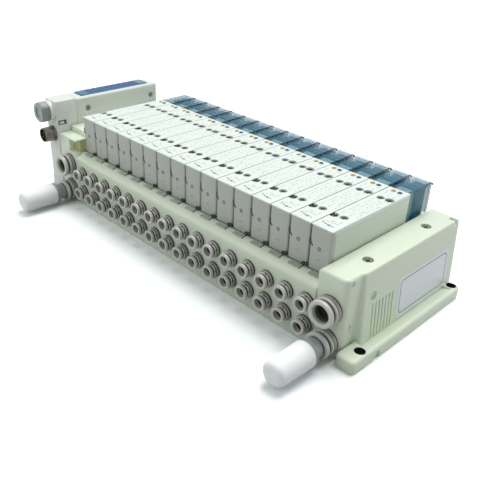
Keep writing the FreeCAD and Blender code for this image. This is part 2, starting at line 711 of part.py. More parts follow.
def make_silencers():
    """Silencers plugged into the exhaust fittings: grey stems and white porous elements."""
    tail = "(large_floor + plug_clear)"
    face = f"({COLLAR_FRONT} + plug_gap)"
    neck = f"({face} + muffler_shank_long)"
    root = f"({neck} + muffler_flange_long)"
    apart = ROW + " + 2 * large_side"
    body = new_body("silencer_stems")
    for start, end, radius in ((tail, face, "large_bore - plug_clear"),
                               (face, neck, "muffler_shank"), (neck, root, "muffler_flange")):
        section = draw_ring(sketch_on(body, "XZ", start), LARGE_SIDES, "0", "0", radius)
        last = pad(body, section, f"{end} - {start}")
    repeat(body, last, "X", apart, "2")
    place(body, "-large_side", "-right_front", "large_high - large_drop")

    body = new_body("silencer_elements")
    section = draw_ring(sketch_on(body, "XZ", root), LARGE_SIDES, "0", "0", "muffler_radius")
    barrel = pad(body, section, "muffler_long")
    doc.recompute()
    free_end = body.Shape.BoundBox.YMin
    bevel = soften(body, barrel, "muffler_bevel",
                   lambda edge: all(abs(v.Point.y - free_end) < 0.01 for v in edge.Vertexes),
                   kind="Chamfer")
    repeat(body, bevel, "X", apart, "2")
    place(body, "-large_side", "-right_front", "large_high - large_drop")


def make_interface_housing():
    """Tall narrow housing of the bus interface, with a window's seat in its top."""
    body = new_body("interface_housing")
    right = "-left_wide"
    rear = "nose_long + unit_long"
    top = "foot_thick + unit_tall"
    outline = draw_box(sketch_on(body, "XY", "foot_thick"), right + " - unit_wide", "nose_long",
                       right, rear)
    block = pad(body, outline, "unit_tall")
    high = size_of("foot_thick") + size_of("unit_tall")

    def top_edge(edge):
        return all(abs(v.Point.z - high) < 0.01 for v in edge.Vertexes)
    soften(body, block, "unit_edge", top_edge)
    doc.recompute()
    seat = draw_box(sketch_on(body, "XY", top),
                    f"{right} - window_right - window_wide - window_gap",
                    "nose_long + window_front - window_gap",
                    f"{right} - window_right + window_gap",
                    "nose_long + window_front + window_long + window_gap")
    pocket(body, seat, "window_seat")
    bores = sketch_on(body, "YZ", right)
    for step in ("0", "unit_screw_span"):
        draw_ring(bores, SCREW_SIDES, f"nose_long + unit_screw_front + {step}",
                  "unit_screw_level", "unit_screw_recess")
    pocket(body, bores, "unit_screw_deep")
    place(body, dy="-nose_front")


def make_interface_details():
    """Window and side screws of the interface housing."""
    right = "-left_wide"
    body = new_body("interface_window")
    floor = "foot_thick + unit_tall - window_seat"
    outline = draw_box(sketch_on(body, "XY", floor), f"{right} - window_right - window_wide",
                       "nose_long + window_front", f"{right} - window_right",
                       "nose_long + window_front + window_long")
    plate = pad(body, outline, "window_thick")

    def upright(edge):
        ends = [v.Point for v in edge.Vertexes]
        return abs(ends[0].x - ends[1].x) + abs(ends[0].y - ends[1].y) < 0.01
    soften(body, plate, "window_round", upright, kind="Chamfer")
    place(body, dy="-nose_front")

    body = new_body("interface_screws")
    heads = sketch_on(body, "YZ", right + " - unit_screw_deep")
    for step in ("0", "unit_screw_span"):
        draw_ring(heads, SCREW_SIDES, f"nose_long + unit_screw_front + {step}",
                  "unit_screw_level", "unit_screw_radius")
    pad(body, heads, "unit_screw_head")
    place(body, dy="-nose_front")


def make_interface_nose():
    """Front block of the interface, which carries the gland and the connector."""
    body = new_body("interface_nose")
    right = "-(left_wide + nose_side_gap)"
    outline = draw_box(sketch_on(body, "XY", "foot_thick"), right + " - nose_wide", "0", right,
                       "nose_long")
    block = pad(body, outline, "unit_tall")
    sides = [-size_of("left_wide") - size_of("nose_side_gap")]
    sides.append(sides[0] - size_of("nose_wide"))
    corners = [upright_at(x, 0) for x in sides]
    soften(body, block, "nose_round", lambda edge: any(test(edge) for test in corners))
    doc.recompute()
    latch = draw_box(sketch_on(body, "YZ", right), "nose_front - latch_rear - latch_long",
                     "latch_low", "nose_front - latch_rear", "latch_low + latch_tall")
    pocket(body, latch, "latch_deep")
    place(body, dy="-nose_front")


def nose_middle():
    """Gives the middle of the front block across the row."""
    return "(-left_wide - nose_side_gap - nose_wide / 2)"


def make_gland():
    """Cable gland: a round body and a cap with two spanner flats."""
    body = new_body("gland_body")
    section = draw_ring(sketch_on(body, "XZ"), LARGE_SIDES, "0", "0", "gland_radius")
    pad(body, section, "gland_long")
    place(body, nose_middle(), "-nose_front", "gland_level")

    body = new_body("gland_cap")
    section = draw_ring(sketch_on(body, "XZ"), LARGE_SIDES, "0", "0", "cap_round")
    barrel = pad(body, section, "cap_long")
    doc.recompute()
    free_end = -size_of("cap_long")
    soften(body, barrel, "cap_bevel",
           lambda edge: all(abs(v.Point.y - free_end) < 0.01 for v in edge.Vertexes),
           kind="Chamfer")
    doc.recompute()
    for side in (-1, 1):
        flat = draw_box(sketch_on(body, "XZ", "cap_long"), f"{side} * cap_flat", "-2 * cap_round",
                        f"{side} * 2 * cap_round", "2 * cap_round")
        pocket(body, flat, "cap_long")
    place(body, nose_middle(), "-nose_front - gland_long", "gland_level")


def make_connector():
    """Round connector: a threaded metal shell and the insert that holds its contacts."""
    body = new_body("connector_shell")
    flange = draw_ring(sketch_on(body, "XZ"), LARGE_SIDES, "0", "0", "plug_flange")
    pad(body, flange, "plug_flange_thick")
    wall = draw_circle(sketch_on(body, "XZ", "plug_flange_thick"), "0", "0", "plug_radius")
    pad(body, wall, "plug_long - plug_flange_thick")
    doc.recompute()
    mouth = draw_ring(sketch_on(body, "XZ", "plug_long"), LARGE_SIDES, "0", "0",
                      "plug_radius - plug_wall")
    pocket(body, mouth, "plug_long - plug_flange_thick")
    place(body, nose_middle(), "-nose_front", "plug_level")

    body = new_body("connector_insert")
    section = draw_ring(sketch_on(body, "XZ", "plug_flange_thick"), LARGE_SIDES, "0", "0",
                        "plug_radius - plug_wall - plug_insert_gap")
    pad(body, section, "plug_long - plug_flange_thick - plug_insert_short")
    place(body, nose_middle(), "-nose_front", "plug_level")


def check_model():
    """Stops if any object failed, or if a sub-part's shape is missing or faulty."""
    doc.recompute()
    for thing in doc.Objects:
        if "Invalid" in thing.State or "Error" in thing.State:
            raise RuntimeError(f"{thing.Label}: {thing.State}")
    for node in nodes:
        if node.Shape.isNull() or not node.Shape.isValid() or not node.Shape.Solids:
            raise RuntimeError(node.Label + ": no valid solid")


def write_parts():
    """Writes one STEP file to each sub-part."""
    os.makedirs("parts", exist_ok=True)
    for node in nodes:
        node.Shape.exportStep(f"parts/{node.Label}.step")
        print(node.Label, len(node.Shape.Solids), round(node.Shape.Volume / 1000, 2), "cm3")


fill_sheet()
make_base()
make_tie_rods()
make_right_block()
make_left_block()
make_insert()
make_valve_row()
make_buttons()
make_pilot_row()
make_block_screws()
make_small_fittings()
make_large_fittings()
make_release_collars()
make_silencers()
make_interface_housing()
make_interface_details()
make_interface_nose()
make_gland()
make_connector()
check_model()
write_parts()
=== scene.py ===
"""Studio scene of a pneumatic valve island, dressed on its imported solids.

Lengths are millimetres in the row's own frame: x = 0 at the left side of the first valve,
y = 0 at the valve fronts and z = 0 on the floor. Meshes become metres when they are published.
"""

from __future__ import annotations

import logging
import math
import random
from dataclasses import dataclass
from enum import Enum
from typing import Iterable, Sequence

import bmesh
import bpy
from mathutils import Matrix, Vector

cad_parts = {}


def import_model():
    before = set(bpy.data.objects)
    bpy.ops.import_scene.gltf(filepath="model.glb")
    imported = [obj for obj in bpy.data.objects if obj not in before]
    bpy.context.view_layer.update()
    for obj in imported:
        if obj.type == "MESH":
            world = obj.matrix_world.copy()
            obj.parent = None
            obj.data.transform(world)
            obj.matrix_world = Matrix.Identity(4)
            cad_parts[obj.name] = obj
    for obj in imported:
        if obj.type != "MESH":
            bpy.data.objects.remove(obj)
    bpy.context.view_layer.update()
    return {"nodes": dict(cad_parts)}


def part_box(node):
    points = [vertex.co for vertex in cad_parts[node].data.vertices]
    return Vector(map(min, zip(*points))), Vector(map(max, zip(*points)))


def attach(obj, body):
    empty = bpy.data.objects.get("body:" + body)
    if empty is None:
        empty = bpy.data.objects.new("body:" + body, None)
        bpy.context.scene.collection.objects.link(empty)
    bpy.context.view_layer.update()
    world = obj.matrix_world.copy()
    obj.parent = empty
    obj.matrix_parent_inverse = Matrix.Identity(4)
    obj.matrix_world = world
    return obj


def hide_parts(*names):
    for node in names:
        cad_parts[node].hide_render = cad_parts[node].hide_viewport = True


LOG = logging.getLogger("valve_island")
MM = 0.001
ROOT_BODY = "island"
SHARP_ANGLE = 38.0
WELD_DISTANCE = 0.002
FLAT_ANGLE = 0.5
COPY_ANGLE = 50.0
CLOUD_SCALE = 40.0
PORE_DEPTH = 0.05
RELIEF_STRENGTH = 0.35
COAT_ROUGHNESS = 0.08
SCATTER_COLOUR = (1.0, 1.0, 0.8)
SCATTER_DEPTH = 3.0

Point = tuple[float, float, float]
Flat = tuple[float, float]
Tree = bpy.types.NodeTree
Node = bpy.types.Node
Corners = Sequence[bmesh.types.BMVert]

UP: Point = (0.0, 0.0, 1.0)
FORWARD: Point = (0.0, -1.0, 0.0)
RIGHTWARD: Point = (1.0, 0.0, 0.0)


def linear(red: int, green: int, blue: int) -> tuple[float, float, float, float]:
    """Turns a display colour into the linear colour that shaders take.

    Args:
        red: Red from 0 to 255.
        green: Green from 0 to 255.
        blue: Blue from 0 to 255.

    Returns:
        Red, green, blue and alpha from 0 to 1.
    """
    def channel(value: int) -> float:
        """Returns one linear channel."""
        part = value / 255
        return part / 12.92 if part <= 0.04045 else ((part + 0.055) / 1.055) ** 2.4
    return channel(red), channel(green), channel(blue), 1.0


class Axis(Enum):
    """Direction along which an outline is drawn out."""

    X = "x"
    Y = "y"
    Z = "z"

    def point(self, flat: Flat, along: float) -> Point:
        """Places a point of an outline in space.

        Args:
            flat: The two coordinates across the axis, in x, y, z order.
            along: The coordinate along the axis.

        Returns:
            The point in space.
        """
        across, up = flat
        if self is Axis.X:
            return along, across, up
        if self is Axis.Y:
            return across, along, up
        return across, up, along


class NodeKind(Enum):
    """Types of shader nodes."""

    START = "NodeGroupInput"
    END = "NodeGroupOutput"
    GROUP = "ShaderNodeGroup"
    PLACE = "ShaderNodeTexCoord"
    NOISE = "ShaderNodeTexNoise"
    CELLS = "ShaderNodeTexVoronoi"
    MATH = "ShaderNodeMath"
    TINT = "ShaderNodeHueSaturation"
    RELIEF = "ShaderNodeBump"
    RAYS = "ShaderNodeLightPath"
    MATT = "ShaderNodeBsdfDiffuse"
    SKY = "ShaderNodeBackground"
    BLEND = "ShaderNodeMixShader"


class LampKind(Enum):
    """Types of lights."""

    SUN = "SUN"
    SQUARE = "AREA"


def add_object(name: str, data: bpy.types.ID) -> bpy.types.Object:
    """Adds an object to the scene.

    Args:
        name: Name of the object.
        data: Its mesh, light or camera.

    Returns:
        The object.
    """
    thing = bpy.data.objects.new(name, data)
    bpy.context.scene.collection.objects.link(thing)
    return thing


def feed(tree: Tree, node: Node, inputs: dict[str | int, object]) -> None:
    """Feeds the inputs of a node.

    Args:
        tree: The nodes that it belongs to.
        node: The node.
        inputs: The socket or the value that feeds each input.
    """
    for label, source in inputs.items():
        if isinstance(source, bpy.types.NodeSocket):
            tree.links.new(source, node.inputs[label])
        else:
            node.inputs[label].default_value = source


def add_node(tree: Tree, kind: NodeKind, inputs: dict[str | int, object] | None = None,
             operation: str = "", group: Tree | None = None) -> Node:
    """Adds a node and feeds its inputs.

    Args:
        tree: The nodes that it joins.
        kind: Type of the node.
        inputs: The socket or the value that feeds each input.
        operation: What a math node does.
        group: The shared group that a group node holds.

    Returns:
        The node.
    """
    node = tree.nodes.new(kind.value)
    if operation:
        node.operation = operation
    if group:
        node.node_tree = group
    feed(tree, node, inputs or {})
    return node


class ShaderGroups:
    """Node groups that several finishes share, each built once."""

    @staticmethod
    def _socket(tree: Tree, label: str, side: str) -> bpy.types.NodeTreeInterfaceSocket:
        """Adds a socket to a group.

        Args:
            tree: The group.
            label: Name of the socket. Colour carries a colour, any other name a number.
            side: INPUT or OUTPUT.

        Returns:
            The socket.
        """
        kind = "NodeSocketColor" if label == "Colour" else "NodeSocketFloat"
        return tree.interface.new_socket(label, in_out=side, socket_type=kind)

    @classmethod
    def _new(cls, name: str, inputs: dict[str, object]) -> tuple[Tree, object]:
        """Starts a group with its input sockets.

        Args:
            name: Name of the group.
            inputs: Default of each input.

        Returns:
            The group and the sockets that carry its inputs.
        """
        tree = bpy.data.node_groups.new(name, "ShaderNodeTree")
        for label, default in inputs.items():
            cls._socket(tree, label, "INPUT").default_value = default
        return tree, add_node(tree, NodeKind.START).outputs

    @classmethod
    def _close(cls, tree: Tree, outputs: dict[str, bpy.types.NodeSocket]) -> Tree:
        """Ends a group with its output sockets.

        Args:
            tree: The group.
            outputs: The socket that feeds each output.

        Returns:
            The group.
        """
        for label in outputs:
            cls._socket(tree, label, "OUTPUT")
        add_node(tree, NodeKind.END, outputs)
        return tree

    @classmethod
    def moulded_surface(cls) -> Tree:
        """Returns the group for faint cloudiness, uneven gloss and fine grain."""
        name = "moulded_surface"
        if name in bpy.data.node_groups:
            return bpy.data.node_groups[name]
        tree, given = cls._new(name, {
            "Colour": (0.8, 0.8, 0.8, 1.0), "Cloudiness": 0.05, "Cloud Scale": CLOUD_SCALE,
            "Gloss Level": 0.5, "Gloss Spread": 0.1, "Grain Scale": 1500.0})
        place = add_node(tree, NodeKind.PLACE).outputs["Object"]
        clouds, grain = (
            add_node(tree, NodeKind.NOISE, {"Vector": place, "Scale": given[scale],
                                            "Detail": detail}).outputs["Fac"]
            for scale, detail in (("Cloud Scale", 4.0), ("Grain Scale", 3.0)))
        centred = add_node(tree, NodeKind.MATH, {0: clouds, 1: 0.5}, "SUBTRACT").outputs[0]
        shade = add_node(tree, NodeKind.MATH, {0: centred, 1: given["Cloudiness"], 2: 1.0},
                         "MULTIPLY_ADD").outputs[0]
        gloss = add_node(tree, NodeKind.MATH, {0: centred, 1: given["Gloss Spread"],
                                               2: given["Gloss Level"]}, "MULTIPLY_ADD")
        tint = add_node(tree, NodeKind.TINT, {"Color": given["Colour"], "Value": shade})
        return cls._close(tree, {"Colour": tint.outputs["Color"], "Roughness": gloss.outputs[0],
                                 "Height": grain})

    @classmethod
    def open_pores(cls) -> Tree:
        """Returns the group for a sintered surface: rounded grains with dark pits between."""
        name = "open_pores"
        if name in bpy.data.node_groups:
            return bpy.data.node_groups[name]
        tree, given = cls._new(name, {"Colour": (0.9, 0.9, 0.9, 1.0), "Pore Scale": 900.0,
                                      "Pore Depth": PORE_DEPTH})
        place = add_node(tree, NodeKind.PLACE).outputs["Object"]
        cells = add_node(tree, NodeKind.CELLS, {
            "Vector": place, "Scale": given["Pore Scale"]}).outputs["Distance"]
        shade = add_node(tree, NodeKind.MATH, {0: cells, 1: given["Pore Depth"]}, "MULTIPLY")
        value, raised = (
            add_node(tree, NodeKind.MATH, {0: 1.0, 1: depth}, "SUBTRACT").outputs[0]
            for depth in (shade.outputs[0], cells))
        tint = add_node(tree, NodeKind.TINT, {"Color": given["Colour"], "Value": value})
        return cls._close(tree, {"Colour": tint.outputs["Color"], "Height": raised})


@dataclass(frozen=True)
class Finish:
    """A surface: its colour, gloss and grain.

    Attributes:
        name: Name of the material.
        colour: Base colour as it displays, red, green and blue from 0 to 255.
        gloss: Mean roughness.
        spread: How much the roughness wanders.
        cloudiness: How much the brightness wanders.
        grain_scale: Scale of the fine grain, per metre.
        grain_depth: Height of the fine grain in millimetres.
        metallic: 1 for bare metal.
        coat: Weight of a clear top layer.
        waxy: Share of light that scatters under the surface.
        pores: True for a sintered surface.
        opacity: Share of light that the surface stops.
        shine: Strength of the mirror reflection.
    """

    name: str
    colour: tuple[int, int, int]
    gloss: float = 0.5
    spread: float = 0.1
    cloudiness: float = 0.05
    grain_scale: float = 1500.0
    grain_depth: float = 0.02
    metallic: float = 0.0
    coat: float = 0.0
    waxy: float = 0.0
    pores: bool = False
    opacity: float = 1.0
    shine: float = 0.5

    def material(self) -> bpy.types.Material:
        """Builds the material on first use, and returns the same one after that."""
        found = bpy.data.materials.get(self.name)
        if found:
            return found
        material = bpy.data.materials.new(self.name)
        material.use_nodes = True
        tree = material.node_tree
        surface = skin = add_node(tree, NodeKind.GROUP, {
            "Colour": linear(*self.colour), "Cloudiness": self.cloudiness,
            "Cloud Scale": CLOUD_SCALE, "Gloss Level": self.gloss, "Gloss Spread": self.spread,
            "Grain Scale": self.grain_scale}, group=ShaderGroups.moulded_surface())
        if self.pores:
            skin = add_node(tree, NodeKind.GROUP, {
                "Colour": surface.outputs["Colour"], "Pore Scale": self.grain_scale,
                "Pore Depth": PORE_DEPTH}, group=ShaderGroups.open_pores())
        relief = add_node(tree, NodeKind.RELIEF, {
            "Strength": RELIEF_STRENGTH, "Distance": self.grain_depth * MM,
            "Height": skin.outputs["Height"]})
        feed(tree, tree.nodes["Principled BSDF"], {
            "Base Color": skin.outputs["Colour"], "Roughness": surface.outputs["Roughness"],
            "Normal": relief.outputs["Normal"], "Metallic": self.metallic,
            "Alpha": self.opacity, "Specular IOR Level": self.shine,
            "Coat Weight": self.coat, "Coat Roughness": COAT_ROUGHNESS,
            "Subsurface Weight": self.waxy, "Subsurface Radius": SCATTER_COLOUR,
            "Subsurface Scale": SCATTER_DEPTH * MM})
        return material


class Finishes:
    """Every finish of the valve island."""

    BASE = Finish("base_moulding", (224, 235, 214), 0.42, 0.12, 0.05, 900.0, 0.02, waxy=0.3)
    VALVE_SIDE = Finish("valve_side_moulding", (210, 220, 205), 0.38, 0.1, 0.05, 1100.0,
                        0.02, waxy=0.25)
    FRONT_COVER = Finish("grey_front_moulding", (184, 189, 180), 0.45, 0.12, 0.12, 1300.0,
                         0.03)
    # Painted shade of the moulded marks on the front covers.
    MOULD_MARK_SHADE = Finish("mould_mark_shade", (104, 108, 100), 0.5, 0.1, 0.1)
    TOP_PLATE = Finish("white_top_moulding", (230, 240, 233), 0.35, 0.1, 0.04, 1500.0, 0.012)
    LABEL_GREY = Finish("label_print_grey", (176, 182, 182), 0.5, 0.1, 0.3)
    LABEL_BLUE = Finish("label_print_blue", (124, 146, 160), 0.5, 0.1, 0.2)
    LABEL_ROSE = Finish("label_print_rose", (172, 160, 156), 0.5, 0.1, 0.2)
    # Dark rubber of the valve gaskets; the same colour is painted shade in the gaps between the
    # valves.
    SEAL_AND_GAP_SHADE = Finish("seal_rubber_and_gap_shade", (34, 38, 38), 0.7, 0.1, 0.1, 1800.0, 0.04)
    # Painted shade on the shelf between the comb ribs.
    COMB_GAP_SHADE = Finish("comb_gap_shade", (78, 84, 70), 0.6, 0.1, 0.2)
    # Dark moulding of the clips and cover tabs; the same colour is painted shade at the foot of
    # the valves, in the grooves of the small fittings, in the latch pocket and in the gap behind
    # the gland cap.
    DARK_MOULDING_AND_SHADE = Finish("dark_moulding_and_shade", (40, 44, 40), 0.55, 0.1, 0.1)
    PILOT = Finish("pilot_moulding", (222, 240, 232), 0.45)
    COIL = Finish("coil_moulding", (104, 134, 146), 0.5, 0.1, 0.08)
    # Painted shade: the coil's own colour darkened for its sides.
    COIL_SIDE_SHADE = Finish("coil_side_painted_shade", (74, 116, 112), 0.5, 0.1, 0.15)
    # Painted shade for the coil's foot; also the colour of the dark lines round the coil.
    COIL_FOOT_SHADE_AND_LINES = Finish("coil_foot_shade_and_lines", (40, 62, 66), 0.5, 0.1, 0.08)
    COVER = Finish("clear_blue_cover", (40, 132, 160), 0.1, 0.03, 0.02, 300.0, 0.005,
                   opacity=0.33)
    # Painted shade along the edges of the clear covers; also the colour of the dark catches.
    COVER_EDGE_SHADE_AND_HOOK = Finish("cover_edge_shade_and_hook", (10, 52, 88), 0.2, 0.05, 0.05)
    ORANGE = Finish("orange_button", (196, 156, 62), 0.35)
    BLUE = Finish("blue_button", (54, 74, 118), 0.35)
    FITTING = Finish("fitting_moulding", (160, 158, 148), 0.4, 0.12, 0.07, 1200.0, 0.03)
    RELEASE_RING = Finish("release_ring_moulding", (206, 206, 197), 0.32)
    # Painted shade in the mouth of a bore: a darker copy of the release ring's colour.
    BORE_MOUTH_SHADE = Finish("bore_mouth_shade", (168, 168, 158), 0.4, 0.1, 0.08)
    DARK_BORE = Finish("bore_shadow", (84, 88, 80), 0.6, 0.1, 0.1)
    STEM_GREY = Finish("silencer_moulding", (160, 170, 168), 0.38, 0.1, 0.06)
    STEEL = Finish("zinc_plated_steel", (136, 136, 130), 0.42, 0.14, 0.12, 700.0, 0.02,
                   metallic=1.0)
    NICKEL = Finish("nickel_plated_brass", (118, 112, 104), 0.28, 0.14, 0.08, 600.0, 0.02,
                    metallic=1.0)
    GOLD = Finish("gold_contact", (116, 108, 92), 0.25, 0.08, 0.05, metallic=1.0)
    # Black of the connector insert; the same colour is painted shade in the mounting holes.
    BLACK_AND_HOLE_SHADE = Finish("black_moulding_and_hole_shade", (16, 16, 17), 0.45, 0.1, 0.08)
    HOUSING = Finish("housing_moulding", (226, 230, 224), 0.45, 0.1, 0.05, 1100.0, 0.025)
    CAP_GREY = Finish("cap_moulding", (152, 162, 154), 0.4, 0.1, 0.06)
    UNIT_WINDOW = Finish("blue_window", (52, 124, 158), 0.2, 0.08, 0.08, 300.0, 0.01,
                         coat=0.2, shine=0.3)
    WINDOW_PRINT = Finish("window_print", (36, 80, 136), 0.4, 0.1, 0.12, shine=0.1)
    WINDOW_RIM = Finish("window_rim", (18, 50, 84), 0.35, 0.1, 0.1, shine=0.2)
    WINDOW_MARK = Finish("window_mark", (92, 136, 178), 0.4, 0.1, 0.1, shine=0.1)
    OLIVE = Finish("olive_insert", (190, 190, 132), 0.5, 0.1, 0.08)
    # Painted shade in the grooves of the olive insert.
    OLIVE_GROOVE_SHADE = Finish("olive_groove_shade", (116, 112, 58), 0.5, 0.1, 0.08)
    POROUS = Finish("sintered_white", (252, 255, 254), 0.6, 0.1, 0.03, 1400.0, 0.05,
                    waxy=0.25, pores=True)
    STICKER = Finish("blank_sticker", (232, 238, 240), 0.3, 0.1, 0.03)
    STICKER_LINE = Finish("sticker_line", (52, 56, 66), 0.45)


class Draft:
    """A mesh under construction, in millimetres in the row's own frame."""

    def __init__(self) -> None:
        """Starts an empty mesh."""
        self.bm = bmesh.new()

    def _belt(self, one: Corners, two: Corners,
              tag: int) -> list[bmesh.types.BMFace]:
        """Joins two rings with a belt of faces. A ring of one corner is a tip.

        Args:
            one: Corners of the first ring.
            two: Corners of the second ring.
            tag: Index of the finish.

        Returns:
            The faces of the belt.
        """
        sides = max(len(one), len(two))
        faces = []
        for k in range(sides):
            after = (k + 1) % sides
            corners = dict.fromkeys((one[k % len(one)], one[after % len(one)],
                                     two[after % len(two)], two[k % len(two)]))
            if len(corners) > 2:
                face = self.bm.faces.new(list(corners))
                face.material_index = tag
                faces.append(face)
        return faces

    def _ring(self, points: Iterable[Point]) -> list[bmesh.types.BMVert]:
        """Adds the corners of a ring."""
        return [self.bm.verts.new(point) for point in points]

    def loft(self, rings: Sequence[Sequence[Point]], tag: int = 0) -> Draft:
        """Skins a stack of closed outlines with equal numbers of points.

        Args:
            rings: The outlines from one end to the other.
            tag: Index of the finish.

        Returns:
            The draft itself.
        """
        skins = [self._ring(ring) for ring in rings]
        faces = [self.bm.faces.new(skins[0]), self.bm.faces.new(skins[-1])]
        for face in faces:
            face.material_index = tag
        for one, two in zip(skins, skins[1:]):
            faces += self._belt(one, two, tag)
        bmesh.ops.recalc_face_normals(self.bm, faces=faces)
        return self

    def band(self, outer: Sequence[Point], inner: Sequence[Point], tag: int) -> Draft:
        """Adds a flat band between two outlines with equal numbers of points.

        Args:
            outer: The outer outline.
            inner: The inner outline.
            tag: Index of the finish.

        Returns:
            The draft itself.
        """
        self._belt(self._ring(outer), self._ring(inner), tag)
        return self

    def prism(self, outline: Sequence[Flat], axis: Axis, start: float, end: float,
              tag: int = 0) -> Draft:
        """Draws an outline out along an axis.

        Args:
            outline: Corners of the outline in order.
            axis: Direction of the prism.
            start: First end along the axis.
            end: Other end along the axis.
            tag: Index of the finish.

        Returns:
            The draft itself.
        """
        return self.loft([[axis.point(flat, along) for flat in outline]
                          for along in (start, end)], tag)

    def box(self, low: Point, high: Point, tag: int = 0) -> Draft:
        """Adds a block between two corners.

        Args:
            low: Lowest corner.
            high: Highest corner.
            tag: Index of the finish.

        Returns:
            The draft itself.
        """
        outline = [(low[0], low[1]), (high[0], low[1]), (high[0], high[1]), (low[0], high[1])]
        return self.prism(outline, Axis.Z, low[2], high[2], tag)

    def lathe(self, profile: Sequence[Flat], centre: Point, out: Point = UP, sides: int = 28,
              tags: Sequence[int] = ()) -> Draft:
        """Turns a profile about an axis.

        Args:
            profile: Pairs of radius and distance along the axis, from one end to the other.
            centre: Point on the axis from which distances are measured.
            out: Unit vector along the axis.
            sides: Number of flat sides of the turned form.
            tags: Index of the finish of each stretch of the profile.

        Returns:
            The draft itself.
        """
        normal = Vector(out)
        across = normal.orthogonal().normalized()
        up = normal.cross(across)
        turns = [math.tau * k / sides for k in range(sides)]
        rings = []
        for radius, distance in profile:
            middle = Vector(centre) + normal * distance
            rings.append(self._ring([middle] if radius <= 0 else [
                middle + across * (radius * math.cos(turn)) + up * (radius * math.sin(turn))
                for turn in turns]))
        faces = []
        for step, (one, two) in enumerate(zip(rings, rings[1:])):
            faces += self._belt(one, two, tags[step] if step < len(tags) else 0)
        bmesh.ops.recalc_face_normals(self.bm, faces=faces)
        return self

    def bar(self, radius: float, start: float, end: float, centre: Point,
            sides: int = 28) -> Draft:
        """Adds an upright round bar, which as a cutter makes a hole.

        Args:
            radius: Radius of the bar.
            start: Height of its lower end over the centre.
            end: Height of its upper end over the centre.
            centre: Point on its axis.
            sides: Number of flat sides.

        Returns:
            The draft itself.
        """
        return self.lathe([(0, start), (radius, start), (radius, end), (0, end)], centre, UP,
                          sides)

    def slab(self, outline: Sequence[Flat], low: float, high: float, edge: float,
             steps: int = 4, tag: int = 0) -> Draft:
        """Raises an outline into a block whose top edge is rounded.

        Args:
            outline: Corners of the outline, counter-clockwise from above.
            low: Height of the underside.
            high: Height of the top.
            edge: Radius of the rounding.
            steps: Number of stretches in the rounding.
            tag: Index of the finish.

        Returns:
            The draft itself.
        """
        rings = [[(x, y, low) for x, y in outline]]
        for back, level in arc((-edge, high - edge), edge, 0, 90, steps):
            rings.append([(x, y, level) for x, y in inset(outline, -back)])
        return self.loft(rings, tag)

    def cross(self, place: Point, span: float, width: float, depth: float) -> Draft:
        """Cuts a cross recess into a screw that faces up.

        Args:
            place: Middle of the recess, at the height where the cut starts.
            span: Length of each arm from tip to tip.
            width: Width of the arms.
            depth: Depth of the cut.

        Returns:
            The draft itself.
        """
        x, y, level = place
        for wide, long in ((span, width), (width, span)):
            self.carve(Draft().box((x - wide / 2, y - long / 2, level - depth),
                                   (x + wide / 2, y + long / 2, level + 1.0)))
        return self

    def join(self, other: Draft) -> Draft:
        """Takes in another draft.

        Args:
            other: The draft to add, which is used up.

        Returns:
            The draft itself.
        """
        mesh = bpy.data.meshes.new("joined")
        other.bm.to_mesh(mesh)
        other.bm.free()
        self.bm.from_mesh(mesh)
        bpy.data.meshes.remove(mesh)
        return self

    def soften(self, width: float, segments: int = 2, angle: float = 35.0) -> Draft:
        """Rounds every edge that is sharper than an angle.

        Args:
            width: Width of the rounding.
            segments: Number of steps in the rounding.
            angle: Least angle between two faces, in degrees.

        Returns:
            The draft itself.
        """
        limit = math.radians(angle)
        edges = [edge for edge in self.bm.edges
                 if len(edge.link_faces) == 2 and edge.calc_face_angle(0.0) > limit]
        bmesh.ops.bevel(self.bm, geom=edges, offset=width, offset_type="OFFSET",
                        segments=segments, profile=0.5, affect="EDGES", clamp_overlap=True)
        return self

    def carve(self, cutter: Draft) -> Draft:
        """Cuts another draft out of this one.

        Args:
            cutter: The solid to remove.

        Returns:
            The draft itself.
        """
        target, tool = self._temporary("target"), cutter._temporary("tool")
        cut = target.modifiers.new("cut", "BOOLEAN")
        cut.operation = "DIFFERENCE"
        cut.solver = "EXACT"
        cut.object = tool
        bpy.context.view_layer.update()
        graph = bpy.context.evaluated_depsgraph_get()
        result = bpy.data.meshes.new_from_object(target.evaluated_get(graph))
        self.bm.clear()
        self.bm.from_mesh(result)
        for thing in (target, tool):
            bpy.data.objects.remove(thing)
        return self

    def _temporary(self, name: str) -> bpy.types.Object:
        """Links a copy of the draft to the scene for a modifier to work on."""
        mesh = bpy.data.meshes.new(name)
        self.bm.to_mesh(mesh)
        return add_object(name, mesh)

    def mesh(self, name: str, shift: Vector) -> bpy.types.Mesh:
        """Writes the finished mesh in metres in the part's frame.

        Args:
            name: Name of the mesh.
            shift: Place of the row's own frame in the part's frame, in millimetres.

        Returns:
            The mesh, smooth except at its sharp edges.
        """
        mesh = bpy.data.meshes.new(name)
        self.bm.to_mesh(mesh)
        self.bm.free()
        mesh.transform(Matrix.Scale(MM, 4) @ Matrix.Translation(shift))
        mesh.polygons.foreach_set("use_smooth", [True] * len(mesh.polygons))
        mesh.set_sharp_from_angle(angle=math.radians(SHARP_ANGLE))
        mesh.update()
        return mesh


def arc(centre: Flat, radius: float, start: float, end: float, steps: int) -> list[Flat]:
    """Gives points along an arc.

    Args:
        centre: Middle of the arc.
        radius: Radius of the arc.
        start: First angle in degrees.
        end: Last angle in degrees.
        steps: Number of stretches.

    Returns:
        The points from the first angle to the last.
    """
    angles = [math.radians(start + (end - start) * k / steps) for k in range(steps + 1)]
    return [(centre[0] + radius * math.cos(turn), centre[1] + radius * math.sin(turn))
            for turn in angles]


